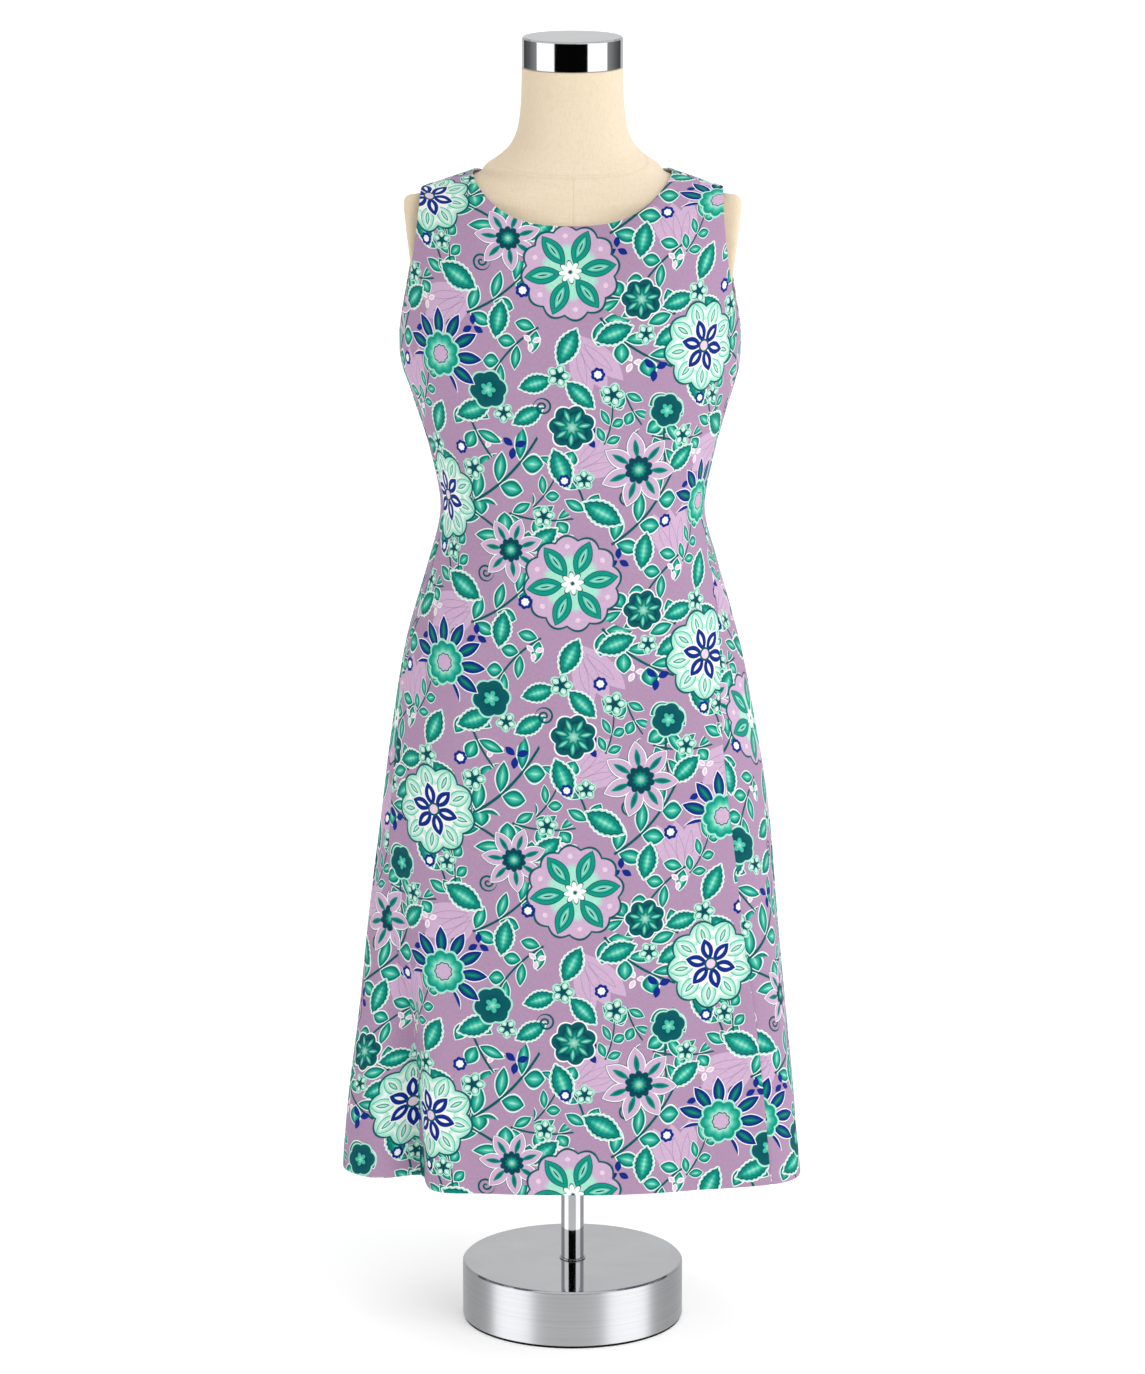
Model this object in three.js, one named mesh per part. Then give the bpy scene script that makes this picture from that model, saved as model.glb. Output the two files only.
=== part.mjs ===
// A sleeveless A-line sheath dress on a limbless dress form with a round stand.
// Millimetres. +Z is up, the dress faces -Y, and the origin is the middle of the stand's underside.
import * as THREE from "three";

// Cloth
const WALL = 1.5;
const SEAM_GAP = 0.3;
const FRONT_COLUMNS = 36;
const BACK_COLUMNS = 48;
const SKIRT_ROWS = 15;
const BODICE_ROWS = 8;

// Heights on the dress
const HEM = 150;
const BUST = 888;
const UNDERARM = 906;
const NECK_FRONT = 1008;
const NECK_BACK = 1034;

// Shoulders: the seam runs from the neck side to the tip down one straight slope
const NECK_HALF = 87;
const TIP_HALF = 131;
const SHOULDER_TOP = 1080.4;
const SHOULDER_FALL = 0.36;
const SHOULDER_ROUND = 40;

// Stand
const POLE_RADIUS = 10.3;
const BASE_RADIUS = 99.5;
const BASE_TOP = 52.8;
const PAD_THICK = 2;
const PIECE_GAP = 0.3;
const BASE_BEVEL = 1.6;
const PAD_RADIUS = 97;
const RING_RADIUS = 11.8;
const RING_THICK = 1.2;
const FLANGE_RADIUS = 46;
const FLANGE_THICK = 8;
const CAP_RADIUS = 44;
const CAP_TOP = 1162.8;
const CAP_BEVEL = 1.5;
const BASE_SIDES = 56;
const ROUND_SIDES = 40;
const POLE_SIDES = 24;

// Level sections of the dress from hem to bust. Depths run forwards and backwards from the pole's line.
const DRESS_SECTIONS = [
  { height: 120, half: 204.5, lean: 0.5, front: 118, back: 127 },
  { height: 204, half: 198.5, lean: 0.3, front: 116, back: 124.5 },
  { height: 290, half: 190, lean: 1.2, front: 114, back: 122 },
  { height: 386, half: 181, lean: 1.8, front: 111.5, back: 119 },
  { height: 472, half: 172.4, lean: 2.6, front: 108.5, back: 116 },
  { height: 564, half: 159.6, lean: 0.9, front: 105, back: 111 },
  { height: 628, half: 147.6, lean: 0, front: 103.5, back: 105 },
  { height: 700, half: 127.6, lean: 0, front: 102, back: 94.5 },
  { height: 748, half: 116.8, lean: 0, front: 102.5, back: 90 },
  { height: 800, half: 125, lean: 0, front: 106.5, back: 93 },
  { height: 856, half: 141.3, lean: -0.8, front: 113.3, back: 99.3 },
  { height: 874, half: 147.2, lean: -1.7, front: 115.6, back: 100.8 },
  { height: 888, half: 149.5, lean: -2.2, front: 116.2, back: 101.2 },
];
const SECTION_SQUARE = 0.03;

// Long soft folds. A fold stands out (+) or in (-) by its reach at the hem end and dies away at its top.
// Angles go round from the viewer's right (0) over the front (90), the left (180) and the back (270).
const FOLDS = [
  { angle: 29, topAngle: 33, spread: 15, reach: 17, from: 120, fade: 620 },
  { angle: 62, topAngle: 64, spread: 9, reach: -3, from: 120, fade: 560 },
  { angle: 121, topAngle: 139, spread: 8, reach: 7, from: 120, fade: 500 },
  { angle: 135.5, topAngle: 149, spread: 8, reach: -34, from: 120, fade: 500 },
  { angle: 163, topAngle: 168, spread: 12, reach: 9, from: 120, fade: 600 },
  { angle: 205, topAngle: 210, spread: 13, reach: -12, from: 120, fade: 560 },
  { angle: 232, topAngle: 236, spread: 13, reach: 8, from: 120, fade: 640 },
  { angle: 262, topAngle: 262, spread: 14, reach: -11, from: 120, fade: 600 },
  { angle: 292, topAngle: 290, spread: 13, reach: 7, from: 120, fade: 620 },
  { angle: 324, topAngle: 320, spread: 13, reach: -12, from: 120, fade: 560 },
];
// Spare cloth at the small of the back, in upright folds that die away above and below.
const WAIST_FOLDS = [
  { angle: 236, spread: 9, reach: 12, height: 742, span: 105 },
  { angle: 254, spread: 9, reach: -8, height: 738, span: 95 },
  { angle: 270, spread: 8, reach: 10, height: 735, span: 90 },
  { angle: 287, spread: 9, reach: -8, height: 740, span: 95 },
  { angle: 305, spread: 9, reach: 12, height: 745, span: 105 },
];
// How far round the side seams swing forwards of the sides, in degrees, on the right and on the left.
const SEAM_TURNS = [
  { height: 148, right: 37, left: 44.5 },
  { height: 282, right: 38, left: 40 },
  { height: 352, right: 39.5, left: 32 },
  { height: 400, right: 40.5, left: 26 },
  { height: 511, right: 41, left: 18 },
  { height: 600, right: 36, left: 16 },
  { height: 680, right: 22, left: 16 },
  { height: 748, right: 12, left: 16 },
  { height: 820, right: 10, left: 13 },
  { height: 862, right: 3, left: 4 },
  { height: 888, right: 0, left: 0 },
];

// The rise of the two panels from the bust to the shoulder seam.
const FRONT_RISE = { middleSquare: -0.03, strapSquare: 0.033, neck: NECK_FRONT, armholeCurve: 2.9 };
const BACK_RISE = { middleSquare: 0.06, strapSquare: 0.06, neck: NECK_BACK, armholeCurve: 2.4 };
// Where along the panel's top edge the neckline ends and the shoulder seam starts.
const NECK_SHARE = 2 / 3;

// Level sections of the form, from the underside of the torso to the top of the neck.
const FORM_SECTIONS = [
  { height: 440, half: 130, front: 78, back: 84 },
  { height: 452, half: 141, front: 88, back: 95 },
  { height: 500, half: 147, front: 94, back: 104 },
  { height: 580, half: 149, front: 98, back: 105 },
  { height: 640, half: 140, front: 96, back: 99 },
  { height: 700, half: 122.5, front: 92, back: 84 },
  { height: 748, half: 112, front: 88, back: 76 },
  { height: 800, half: 119.5, front: 93, back: 83 },
  { height: 850, half: 134, front: 106, back: 92 },
  { height: 888, half: 143, front: 112, back: 97 },
  { height: 930, half: 141, front: 106, back: 96 },
  { height: 970, half: 138, front: 92, back: 91 },
  { height: 1000, half: 137, front: 77, back: 84 },
  { height: 1016, half: 135, front: 69, back: 77 },
  { height: 1026, half: 126, front: 66, back: 72 },
  { height: 1035, half: 103.5, front: 60.5, back: 68 },
  { height: 1043.5, half: 82.5, front: 57, back: 62 },
  { height: 1051, half: 76, front: 56.5, back: 59 },
  { height: 1061, half: 62, front: 52.5, back: 55 },
  { height: 1070, half: 54, front: 49.5, back: 51 },
  { height: 1083, half: 48.6, front: 47, back: 48 },
  { height: 1105, half: 45.6, front: 45.4, back: 45.6 },
  { height: 1136.3, half: 44.7, front: 44.7, back: 44.7 },
];
const FORM_SQUARE = 0.015;
const FORM_SIDES = 40;

// Arm plates: oval drums on the form's flat arm openings, leaning out at the top.
const PLATE_MIDDLE = 971;
const PLATE_HIGH = 53;
const PLATE_DEEP = 33;
const PLATE_THICK = 18;
const PLATE_OUT = 142.2;
const PLATE_LEAN = THREE.MathUtils.degToRad(7.3);
const PLATE_EDGE = 7;
const PLATE_EDGE_STEPS = 3;
const PLATE_SIDES = 24;
const PLATE_BACK = 3;
// The arm openings are cut above this height.
const ARM_FLOOR = 908;

// Rings of the torso's wall: closer where its outline bends.
const FORM_HEIGHTS = [
  440, 446, 460, 500, 545, 590, 630, 665, 700, 730, 760, 795, 830, 860, 888, 904, 912, 940, 970,
  1000, 1016, 1026, 1035, 1043.5, 1051, 1060, 1070, 1084, 1108, 1136.3,
];

const group = new THREE.Group();
const printedCloth = { color: 0xb292be, roughness: 0.8, metalness: 0 };
const creamCloth = { color: 0xeadbc0, roughness: 0.9, metalness: 0 };
const chrome = { color: 0xc9cbce, roughness: 0.12, metalness: 1 };
const rubber = { color: 0x1c1c1e, roughness: 0.9, metalness: 0 };

function addPiece(name, geometry, finish) {
  const mesh = new THREE.Mesh(geometry, new THREE.MeshStandardMaterial(finish));
  mesh.name = name;
  group.add(mesh);
}

// Every column of a section table at one height, on a smooth curve through its rows.
function sectionAt(rows, height) {
  const last = rows.length - 1;
  const at = THREE.MathUtils.clamp(height, rows[0].height, rows[last].height);
  let low = 0;
  while (low < last - 1 && rows[low + 1].height < at) {
    low += 1;
  }
  const high = low + 1;
  const slope = (column, row) => {
    const before = rows[Math.max(row - 1, 0)];
    const after = rows[Math.min(row + 1, last)];
    return (after[column] - before[column]) / (after.height - before.height);
  };
  const step = rows[high].height - rows[low].height;
  const s = (at - rows[low].height) / step;
  const section = {};
  for (const column of Object.keys(rows[0])) {
    const rise = s * s * (3 - 2 * s);
    section[column] =
      rows[low][column] * (1 - rise) +
      rows[high][column] * rise +
      slope(column, low) * step * s * (1 - s) * (1 - s) -
      slope(column, high) * step * s * s * (1 - s);
  }
  return section;
}

// Shares of the half width and depth at an angle round a section, a little squarer than an ellipse.
function roundShares(angle, square) {
  const t = THREE.MathUtils.degToRad(angle);
  return {
    across: (Math.cos(t) - square * Math.cos(3 * t)) / (1 - square),
    forward: (Math.sin(t) + square * Math.sin(3 * t)) / (1 - square),
  };
}

// The angle between low and high at which a steadily rising function reaches a value.
function angleWhere(rising, value, low, high) {
  for (let i = 0; i < 40; i += 1) {
    const middle = (low + high) / 2;
    if (rising(middle) < value) {
      low = middle;
    } else {
      high = middle;
    }
  }
  return (low + high) / 2;
}

function sectionPoint(section, angle, square, lean) {
  const shares = roundShares(angle, square);
  const depth = shares.forward >= 0 ? section.front : section.back;
  return new THREE.Vector3(lean + section.half * shares.across, -depth * shares.forward, section.height);
}

function bump(distance) {
  return Math.exp(-distance * distance);
}

function smoothStep(low, high, value) {
  return THREE.MathUtils.smoothstep(value, low, high);
}

// How far the folds push the cloth out at one angle and height.
function foldReach(angle, height) {
  let reach = 0;
  for (const fold of FOLDS) {
    const share = 1 - smoothStep(fold.from, fold.fade, height);
    const middle = fold.angle + (fold.topAngle - fold.angle) * (1 - share);
    reach += fold.reach * share * bump(((angle % 360) - middle) / fold.spread);
  }
  for (const fold of WAIST_FOLDS) {
    const round = bump((angle - fold.angle) / fold.spread);
    reach += fold.reach * round * bump((height - fold.height) / fold.span);
  }
  return reach;
}

// The dress below the bust, by angle and height.
function skirtPoint(angle, height) {
  const section = sectionAt(DRESS_SECTIONS, height);
  const point = sectionPoint(section, angle, SECTION_SQUARE, section.lean);
  const t = THREE.MathUtils.degToRad(angle);
  const depth = Math.sin(t) >= 0 ? section.front : section.back;
  const outward = new THREE.Vector3(Math.cos(t) / section.half, -Math.sin(t) / depth, 0).normalize();
  point.addScaledVector(outward, foldReach(angle, height));
  return point.setZ(height);
}

// Where a side seam runs: its angle at a height.
function seamAngle(right, height) {
  const turns = sectionAt(SEAM_TURNS, height);
  return right ? turns.right : 180 - turns.left;
}

function shoulderHeight(across) {
  return SHOULDER_TOP - SHOULDER_FALL * Math.hypot(across, SHOULDER_ROUND);
}

const bustSection = sectionAt(DRESS_SECTIONS, BUST);

// The chest slopes straighter at the middle and rolls rounder under the straps.
function riseSquare(panel, across) {
  return THREE.MathUtils.lerp(panel.middleSquare, panel.strapSquare, smoothStep(0, NECK_HALF, across));
}

// The dress above the bust: at a distance across, it rises and rolls back to the shoulder line.
function bodicePoint(panel, side, across, roll) {
  const share = Math.min(across / bustSection.half, 1);
  const angle = 90 - angleWhere((a) => roundShares(90 - a, SECTION_SQUARE).across, share, 0, 90);
  const depth = panel.depth * roundShares(angle, SECTION_SQUARE).forward;
  const roundness = roundShares(roll, riseSquare(panel, across));
  return new THREE.Vector3(
    bustSection.lean * Math.cos(THREE.MathUtils.degToRad(roll)) + side * across,
    panel.facing * depth * roundness.across,
    BUST + (shoulderHeight(across) - BUST) * roundness.forward,
  );
}

// The roll at which the panel reaches a height, at a distance across.
function rollAt(panel, across, height) {
  const share = (height - BUST) / (shoulderHeight(across) - BUST);
  return angleWhere((a) => roundShares(a, riseSquare(panel, across)).forward, share, 0, 90);
}

// Top edge of half a panel, from mid neckline to shoulder tip: distance across and roll.
function topEdge(panel, share) {
  if (share >= NECK_SHARE) {
    const along = (share - NECK_SHARE) / (1 - NECK_SHARE);
    return [NECK_HALF + (TIP_HALF - NECK_HALF) * along, 90];
  }
  const turn = (Math.PI / 2) * (share / NECK_SHARE);
  const s = Math.sin(turn);
  const rise = 1 - Math.cos(turn) * Math.sqrt(1 + s * s);
  const low = rollAt(panel, 0, panel.neck);
  return [NECK_HALF * s, low + (90 - low) * rise];
}

// Side edge of half a panel, up the end of the side seam and round the armhole to the shoulder tip.
function sideEdge(panel, share) {
  const roll = 90 * share;
  const low = rollAt(panel, bustSection.half, UNDERARM);
  const along = Math.max(roll - low, 0) / (90 - low);
  const out = (bustSection.half - TIP_HALF) * (1 - along) ** panel.armholeCurve;
  return [TIP_HALF + out, roll];
}

function middleEdge(panel, share) {
  return [0, rollAt(panel, 0, panel.neck) * share];
}

function bustEdge(share) {
  return [bustSection.half * roundShares(90 * (1 - share), SECTION_SQUARE).across, 0];
}

// A point of the bodice by its share of the way across and up, blended from the four edges.
function bodiceAt(panel, side, across, up) {
  const edges = [bustEdge(across), topEdge(panel, across), middleEdge(panel, up), sideEdge(panel, up)];
  const corners = [bustEdge(0), bustEdge(1), topEdge(panel, 0), topEdge(panel, 1)];
  const [x, roll] = [0, 1].map(
    (i) =>
      (1 - up) * edges[0][i] +
      up * edges[1][i] +
      (1 - across) * edges[2][i] +
      across * edges[3][i] -
      (1 - up) * ((1 - across) * corners[0][i] + across * corners[1][i]) -
      up * ((1 - across) * corners[2][i] + across * corners[3][i]),
  );
  return bodicePoint(panel, side, x, roll);
}

// Shares of the way up the bodice for its rows: the first is at the underarm, the rest crowd near it.
function bodiceLevels(panel) {
  const underarm = rollAt(panel, bustSection.half, UNDERARM) / 90;
  const levels = [];
  for (let row = 0; row < BODICE_ROWS; row += 1) {
    levels.push(underarm + (1 - underarm) * (row / (BODICE_ROWS - 1)) ** 1.5);
  }
  return levels;
}

// A panel is a grid of points from right to left and from hem to top.
function panelPoint(panel, column, row) {
  const share = column / panel.columns;
  if (row <= SKIRT_ROWS) {
    const height = HEM + ((BUST - HEM) * row) / SKIRT_ROWS;
    const start = seamAngle(true, height) + (panel.facing < 0 ? 0 : 360);
    return skirtPoint(THREE.MathUtils.lerp(start, seamAngle(false, height), share), height);
  }
  const signed = 1 - 2 * share;
  const side = signed < 0 ? -1 : 1;
  return bodiceAt(panel, side, Math.abs(signed), panel.levels[row - SKIRT_ROWS - 1]);
}

// At a seam both panels share one outward direction, and each steps back from it along the cloth.
function seamAt(panel, column, row) {
  const right = column < panel.columns / 2;
  const atSide = column === 0 || column === panel.columns;
  const hand = right ? 1 : -1;
  if (atSide && row <= SKIRT_ROWS) {
    const height = HEM + ((BUST - HEM) * row) / SKIRT_ROWS;
    const angle = seamAngle(right, height);
    const along = skirtPoint(angle + 1, height).sub(skirtPoint(angle - 1, height)).normalize();
    const up = skirtPoint(angle, height + 1).sub(skirtPoint(angle, height - 1));
    return { normal: up.cross(along).normalize(), away: along.multiplyScalar(-panel.facing * hand) };
  }
  const away = new THREE.Vector3(0, panel.facing, 0);
  if (atSide && row === SKIRT_ROWS + 1) {
    return { normal: new THREE.Vector3(hand, 0, 0), away };
  }
  const across = Math.abs(1 - (2 * column) / panel.columns);
  if (row === SKIRT_ROWS + BODICE_ROWS && across >= NECK_SHARE) {
    const [x] = topEdge(panel, across);
    const slope = shoulderHeight(x + 1) - shoulderHeight(x - 1);
    return { normal: new THREE.Vector3(-slope * hand, 0, 2).normalize(), away };
  }
  return null;
}

// A cloth wall: the panel's grid of outer points, the same grid one wall in, and the edges between.
function panelGeometry(panel) {
  const rows = SKIRT_ROWS + BODICE_ROWS;
  const columns = panel.columns;
  const outer = [];
  for (let row = 0; row <= rows; row += 1) {
    outer.push([]);
    for (let column = 0; column <= columns; column += 1) {
      outer[row].push(panelPoint(panel, column, row));
    }
  }
  const points = [];
  for (let row = 0; row <= rows; row += 1) {
    for (let column = 0; column <= columns; column += 1) {
      const seam = seamAt(panel, column, row);
      const line = outer[row];
      const along = line[Math.min(column + 1, columns)].clone().sub(line[Math.max(column - 1, 0)]);
      const up = outer[Math.min(row + 1, rows)][column].clone().sub(outer[Math.max(row - 1, 0)][column]);
      const normal = seam ? seam.normal : up.cross(along).multiplyScalar(-panel.facing).normalize();
      const point = line[column].clone();
      if (seam) {
        point.addScaledVector(seam.away, SEAM_GAP / 2);
      }
      points.push(point, point.clone().addScaledVector(normal, -WALL));
    }
  }
  const index = [];
  const at = (column, row, skin) => 2 * (row * (columns + 1) + column) + skin;
  const addQuad = (a, b, c, d) => {
    const quad = panel.facing < 0 ? [a, b, c, a, c, d] : [a, c, b, a, d, c];
    index.push(...quad);
  };
  for (let row = 0; row < rows; row += 1) {
    for (let column = 0; column < columns; column += 1) {
      addQuad(at(column, row, 0), at(column, row + 1, 0), at(column + 1, row + 1, 0), at(column + 1, row, 0));
      addQuad(at(column, row, 1), at(column + 1, row, 1), at(column + 1, row + 1, 1), at(column, row + 1, 1));
    }
    addQuad(at(0, row, 0), at(0, row, 1), at(0, row + 1, 1), at(0, row + 1, 0));
    addQuad(at(columns, row, 0), at(columns, row + 1, 0), at(columns, row + 1, 1), at(columns, row, 1));
  }
  for (let column = 0; column < columns; column += 1) {
    addQuad(at(column, 0, 0), at(column + 1, 0, 0), at(column + 1, 0, 1), at(column, 0, 1));
    addQuad(at(column, rows, 0), at(column, rows, 1), at(column + 1, rows, 1), at(column + 1, rows, 0));
  }
  return new THREE.BufferGeometry().setFromPoints(points).setIndex(index);
}

function addDress() {
  for (const [name, facing, columns, rise] of [
    ["dress_front", -1, FRONT_COLUMNS, FRONT_RISE],
    ["dress_back", 1, BACK_COLUMNS, BACK_RISE],
  ]) {
    const depth = facing < 0 ? bustSection.front : bustSection.back;
    const panel = { ...rise, facing, columns, depth };
    panel.levels = bodiceLevels(panel);
    addPiece(name, panelGeometry(panel), printedCloth);
  }
}

// Where the form's flat arm opening stands, at a height. The plate's outer face is PLATE_THICK beyond.
function armOpening(height) {
  const inner = PLATE_OUT - (PLATE_THICK + PIECE_GAP) / Math.cos(PLATE_LEAN);
  return inner + (height - PLATE_MIDDLE) * Math.tan(PLATE_LEAN);
}

// The torso and neck: rings from the underside up, cut flat at the arm openings, closed at both ends.
function torsoGeometry() {
  const points = [];
  const heights = FORM_HEIGHTS;
  for (const height of heights) {
    const section = sectionAt(FORM_SECTIONS, height);
    for (let side = 0; side < FORM_SIDES; side += 1) {
      const point = sectionPoint(section, (360 * side) / FORM_SIDES, FORM_SQUARE, 0);
      if (height > ARM_FLOOR) {
        const limit = armOpening(height);
        point.x = THREE.MathUtils.clamp(point.x, -limit, limit);
      }
      points.push(point.setZ(height));
    }
  }
  const bottom = points.length;
  points.push(new THREE.Vector3(0, 0, heights[0]));
  points.push(new THREE.Vector3(0, 0, heights[heights.length - 1]));
  const index = [];
  for (let side = 0; side < FORM_SIDES; side += 1) {
    const next = (side + 1) % FORM_SIDES;
    for (let ring = 0; ring < heights.length - 1; ring += 1) {
      const [low, high] = [ring * FORM_SIDES, (ring + 1) * FORM_SIDES];
      index.push(low + side, high + next, low + next, low + side, high + side, high + next);
    }
    const top = (heights.length - 1) * FORM_SIDES;
    index.push(bottom, side, next, bottom + 1, top + next, top + side);
  }
  return new THREE.BufferGeometry().setFromPoints(points).setIndex(index);
}

// A solid turned about the stand's axis from a profile of [radius, height] pairs, lowest first.
function turned(profile, sides) {
  const outline = profile.map(([radius, height]) => new THREE.Vector2(radius, height));
  return new THREE.LatheGeometry(outline, sides).rotateX(Math.PI / 2);
}

function addForm() {
  addPiece("form_torso", torsoGeometry(), creamCloth);
  const outline = [
    new THREE.Vector2(0, -PLATE_THICK),
    new THREE.Vector2(1, -PLATE_THICK),
  ];
  for (let step = 0; step <= PLATE_EDGE_STEPS; step += 1) {
    const turn = (Math.PI / 2) * (step / PLATE_EDGE_STEPS);
    const radius = 1 - (PLATE_EDGE / PLATE_HIGH) * (1 - Math.cos(turn));
    outline.push(new THREE.Vector2(radius, -PLATE_EDGE * (1 - Math.sin(turn))));
  }
  outline.push(new THREE.Vector2(0, 0));
  for (const [name, turn] of [
    ["arm_plate_right", 0],
    ["arm_plate_left", Math.PI],
  ]) {
    const plate = new THREE.LatheGeometry(outline, PLATE_SIDES);
    plate.rotateZ(-Math.PI / 2).scale(1, PLATE_DEEP, PLATE_HIGH).rotateY(PLATE_LEAN);
    plate.translate(PLATE_OUT, PLATE_BACK, PLATE_MIDDLE);
    if (turn) {
      plate.translate(0, -2 * PLATE_BACK, 0).rotateZ(turn);
    }
    addPiece(name, plate, creamCloth);
  }
}

function addStand() {
  const neckTop = FORM_SECTIONS[FORM_SECTIONS.length - 1].height;
  const capBottom = neckTop + PIECE_GAP;
  addPiece(
    "neck_cap",
    turned(
      [
        [0, capBottom],
        [CAP_RADIUS, capBottom],
        [CAP_RADIUS, CAP_TOP - CAP_BEVEL],
        [CAP_RADIUS - CAP_BEVEL, CAP_TOP],
        [0, CAP_TOP],
      ],
      ROUND_SIDES,
    ),
    chrome,
  );
  const flangeTop = FORM_SECTIONS[0].height - PIECE_GAP;
  const flangeBottom = flangeTop - FLANGE_THICK;
  addPiece(
    "pole_flange",
    turned(
      [
        [0, flangeBottom],
        [FLANGE_RADIUS, flangeBottom],
        [FLANGE_RADIUS, flangeTop],
        [0, flangeTop],
      ],
      POLE_SIDES,
    ),
    chrome,
  );
  const poleBottom = BASE_TOP + PIECE_GAP;
  addPiece(
    "stand_pole",
    turned(
      [
        [0, poleBottom],
        [POLE_RADIUS, poleBottom],
        [POLE_RADIUS, flangeBottom - PIECE_GAP],
        [0, flangeBottom - PIECE_GAP],
      ],
      POLE_SIDES,
    ),
    chrome,
  );
  const ringInner = POLE_RADIUS + PIECE_GAP;
  addPiece(
    "pole_ring",
    turned(
      [
        [ringInner, poleBottom],
        [RING_RADIUS, poleBottom],
        [RING_RADIUS, poleBottom + RING_THICK],
        [ringInner, poleBottom + RING_THICK],
        [ringInner, poleBottom],
      ],
      POLE_SIDES,
    ),
    chrome,
  );
  const baseBottom = PAD_THICK + PIECE_GAP;
  addPiece(
    "stand_base",
    turned(
      [
        [0, baseBottom],
        [BASE_RADIUS, baseBottom],
        [BASE_RADIUS, BASE_TOP - BASE_BEVEL],
        [BASE_RADIUS - BASE_BEVEL, BASE_TOP],
        [0, BASE_TOP],
      ],
      BASE_SIDES,
    ),
    chrome,
  );
  addPiece(
    "base_pad",
    turned(
      [
        [0, 0],
        [PAD_RADIUS, 0],
        [PAD_RADIUS, PAD_THICK],
        [0, PAD_THICK],
      ],
      BASE_SIDES,
    ),
    rubber,
  );
}

addDress();
addForm();
addStand();

export default group;
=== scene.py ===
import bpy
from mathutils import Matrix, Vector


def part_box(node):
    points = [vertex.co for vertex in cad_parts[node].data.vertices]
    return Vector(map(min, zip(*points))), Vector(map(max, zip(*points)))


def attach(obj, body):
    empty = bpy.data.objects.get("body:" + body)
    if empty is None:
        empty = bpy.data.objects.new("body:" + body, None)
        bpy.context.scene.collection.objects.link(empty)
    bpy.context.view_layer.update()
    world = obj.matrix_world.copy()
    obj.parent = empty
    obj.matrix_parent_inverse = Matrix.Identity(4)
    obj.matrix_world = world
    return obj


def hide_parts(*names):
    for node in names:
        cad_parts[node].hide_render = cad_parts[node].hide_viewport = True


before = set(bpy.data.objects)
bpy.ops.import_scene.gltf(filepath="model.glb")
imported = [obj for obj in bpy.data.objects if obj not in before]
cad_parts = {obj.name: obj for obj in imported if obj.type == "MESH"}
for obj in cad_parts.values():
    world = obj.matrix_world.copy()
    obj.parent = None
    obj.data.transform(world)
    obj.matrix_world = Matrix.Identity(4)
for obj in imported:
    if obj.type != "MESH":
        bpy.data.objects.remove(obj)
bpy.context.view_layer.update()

import ast
import math

import bpy
import numpy as np

MM = 0.001


# ---- Base pad ----
# A thin disc of black rubber, cut with a die and glued under the weighted base so that the stand
# doesn't slide or mark the floor. Only its edge shows, as a dark line under the base.
PAD_SIDES = 160
PAD_EDGE = 0.4
# The weight above spreads the soft disc a little past the size it was cut to.
PAD_SPREAD = 1.6
RUBBER_BLACK = "#0B0B0C"
RUBBER_GREY = "#161617"
RUBBER_GRIT = 1.5
RUBBER_DENTS = 0.2
# How far in from its edge a turned solid's outline starts and ends.
RIM = 4


def linear(code):
    """An sRGB hex colour as the linear colour that Blender works in."""
    parts = [int(code[i : i + 2], 16) / 255 for i in (1, 3, 5)]
    return tuple(p / 12.92 if p <= 0.04045 else ((p + 0.055) / 1.055) ** 2.4 for p in parts) + (1.0,)


def add_node(tree, kind, inputs=None, **settings):
    """Adds a node with its settings and gives its outputs.

    Each input is given by name or number, as a value or as the socket it comes from.
    """
    made = tree.nodes.new(kind)
    for name, value in settings.items():
        setattr(made, name, value)
    for name, value in (inputs or {}).items():
        if isinstance(value, bpy.types.NodeSocket):
            tree.links.new(value, made.inputs[name])
        else:
            made.inputs[name].default_value = value
    return made.outputs


def new_material(name):
    """A material with an empty node tree."""
    material = bpy.data.materials.new(name)
    material.use_nodes = True
    material.node_tree.nodes.clear()
    return material, material.node_tree


def finish_material(tree, inputs, shader="ShaderNodeBsdfPrincipled"):
    """Ends a material's tree with its shader, joined to the output."""
    add_node(tree, "ShaderNodeOutputMaterial", {0: add_node(tree, shader, inputs)[0]})


def add_piece(name, points, faces, *materials):
    """A mesh object from points in millimetres, in the frame's own axes."""
    mesh = bpy.data.meshes.new(name)
    mesh.from_pydata(np.asarray(points) * MM, [], faces)
    for material in materials:
        mesh.materials.append(material)
    mesh.shade_smooth()
    piece = bpy.data.objects.new(name, mesh)
    bpy.context.scene.collection.objects.link(piece)
    return piece


def round_sizes(node):
    """The radius of a round solid, and the heights of its foot and top, in millimetres."""
    low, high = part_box(node)
    return high[0] / MM, low[2] / MM, high[2] / MM


def rounded(corners, steps=5):
    """An outline through corners of (radius, height, fillet), with an arc of steps edges at each fillet.

    A point either side of the arc keeps the shading of the straight runs flat.
    """
    path = []
    for number, (radius, height, fillet) in enumerate(corners):
        here = np.array([radius, height])
        if not fillet:
            path.append(here)
            continue
        before = np.array(corners[number - 1][:2]) - here
        after = np.array(corners[(number + 1) % len(corners)][:2]) - here
        before_long, after_long = np.linalg.norm(before), np.linalg.norm(after)
        before /= before_long
        after /= after_long
        half = math.acos(np.clip(before @ after, -1, 1)) / 2
        reach = fillet / math.tan(half)
        inward = (before + after) / np.linalg.norm(before + after)
        middle = here + inward * fillet / math.sin(half)
        start = here + before * reach - middle
        end = here + after * reach - middle
        sweep = math.pi - 2 * half
        path.append(here + before * min(reach + 2 * fillet, (reach + before_long / 2) / 2))
        for share in np.arange(steps + 1) / steps:
            arc = math.sin((1 - share) * sweep) * start + math.sin(share * sweep) * end
            path.append(middle + arc / math.sin(sweep))
        path.append(here + after * min(reach + 2 * fillet, (reach + after_long / 2) / 2))
    return np.array(path)


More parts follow.
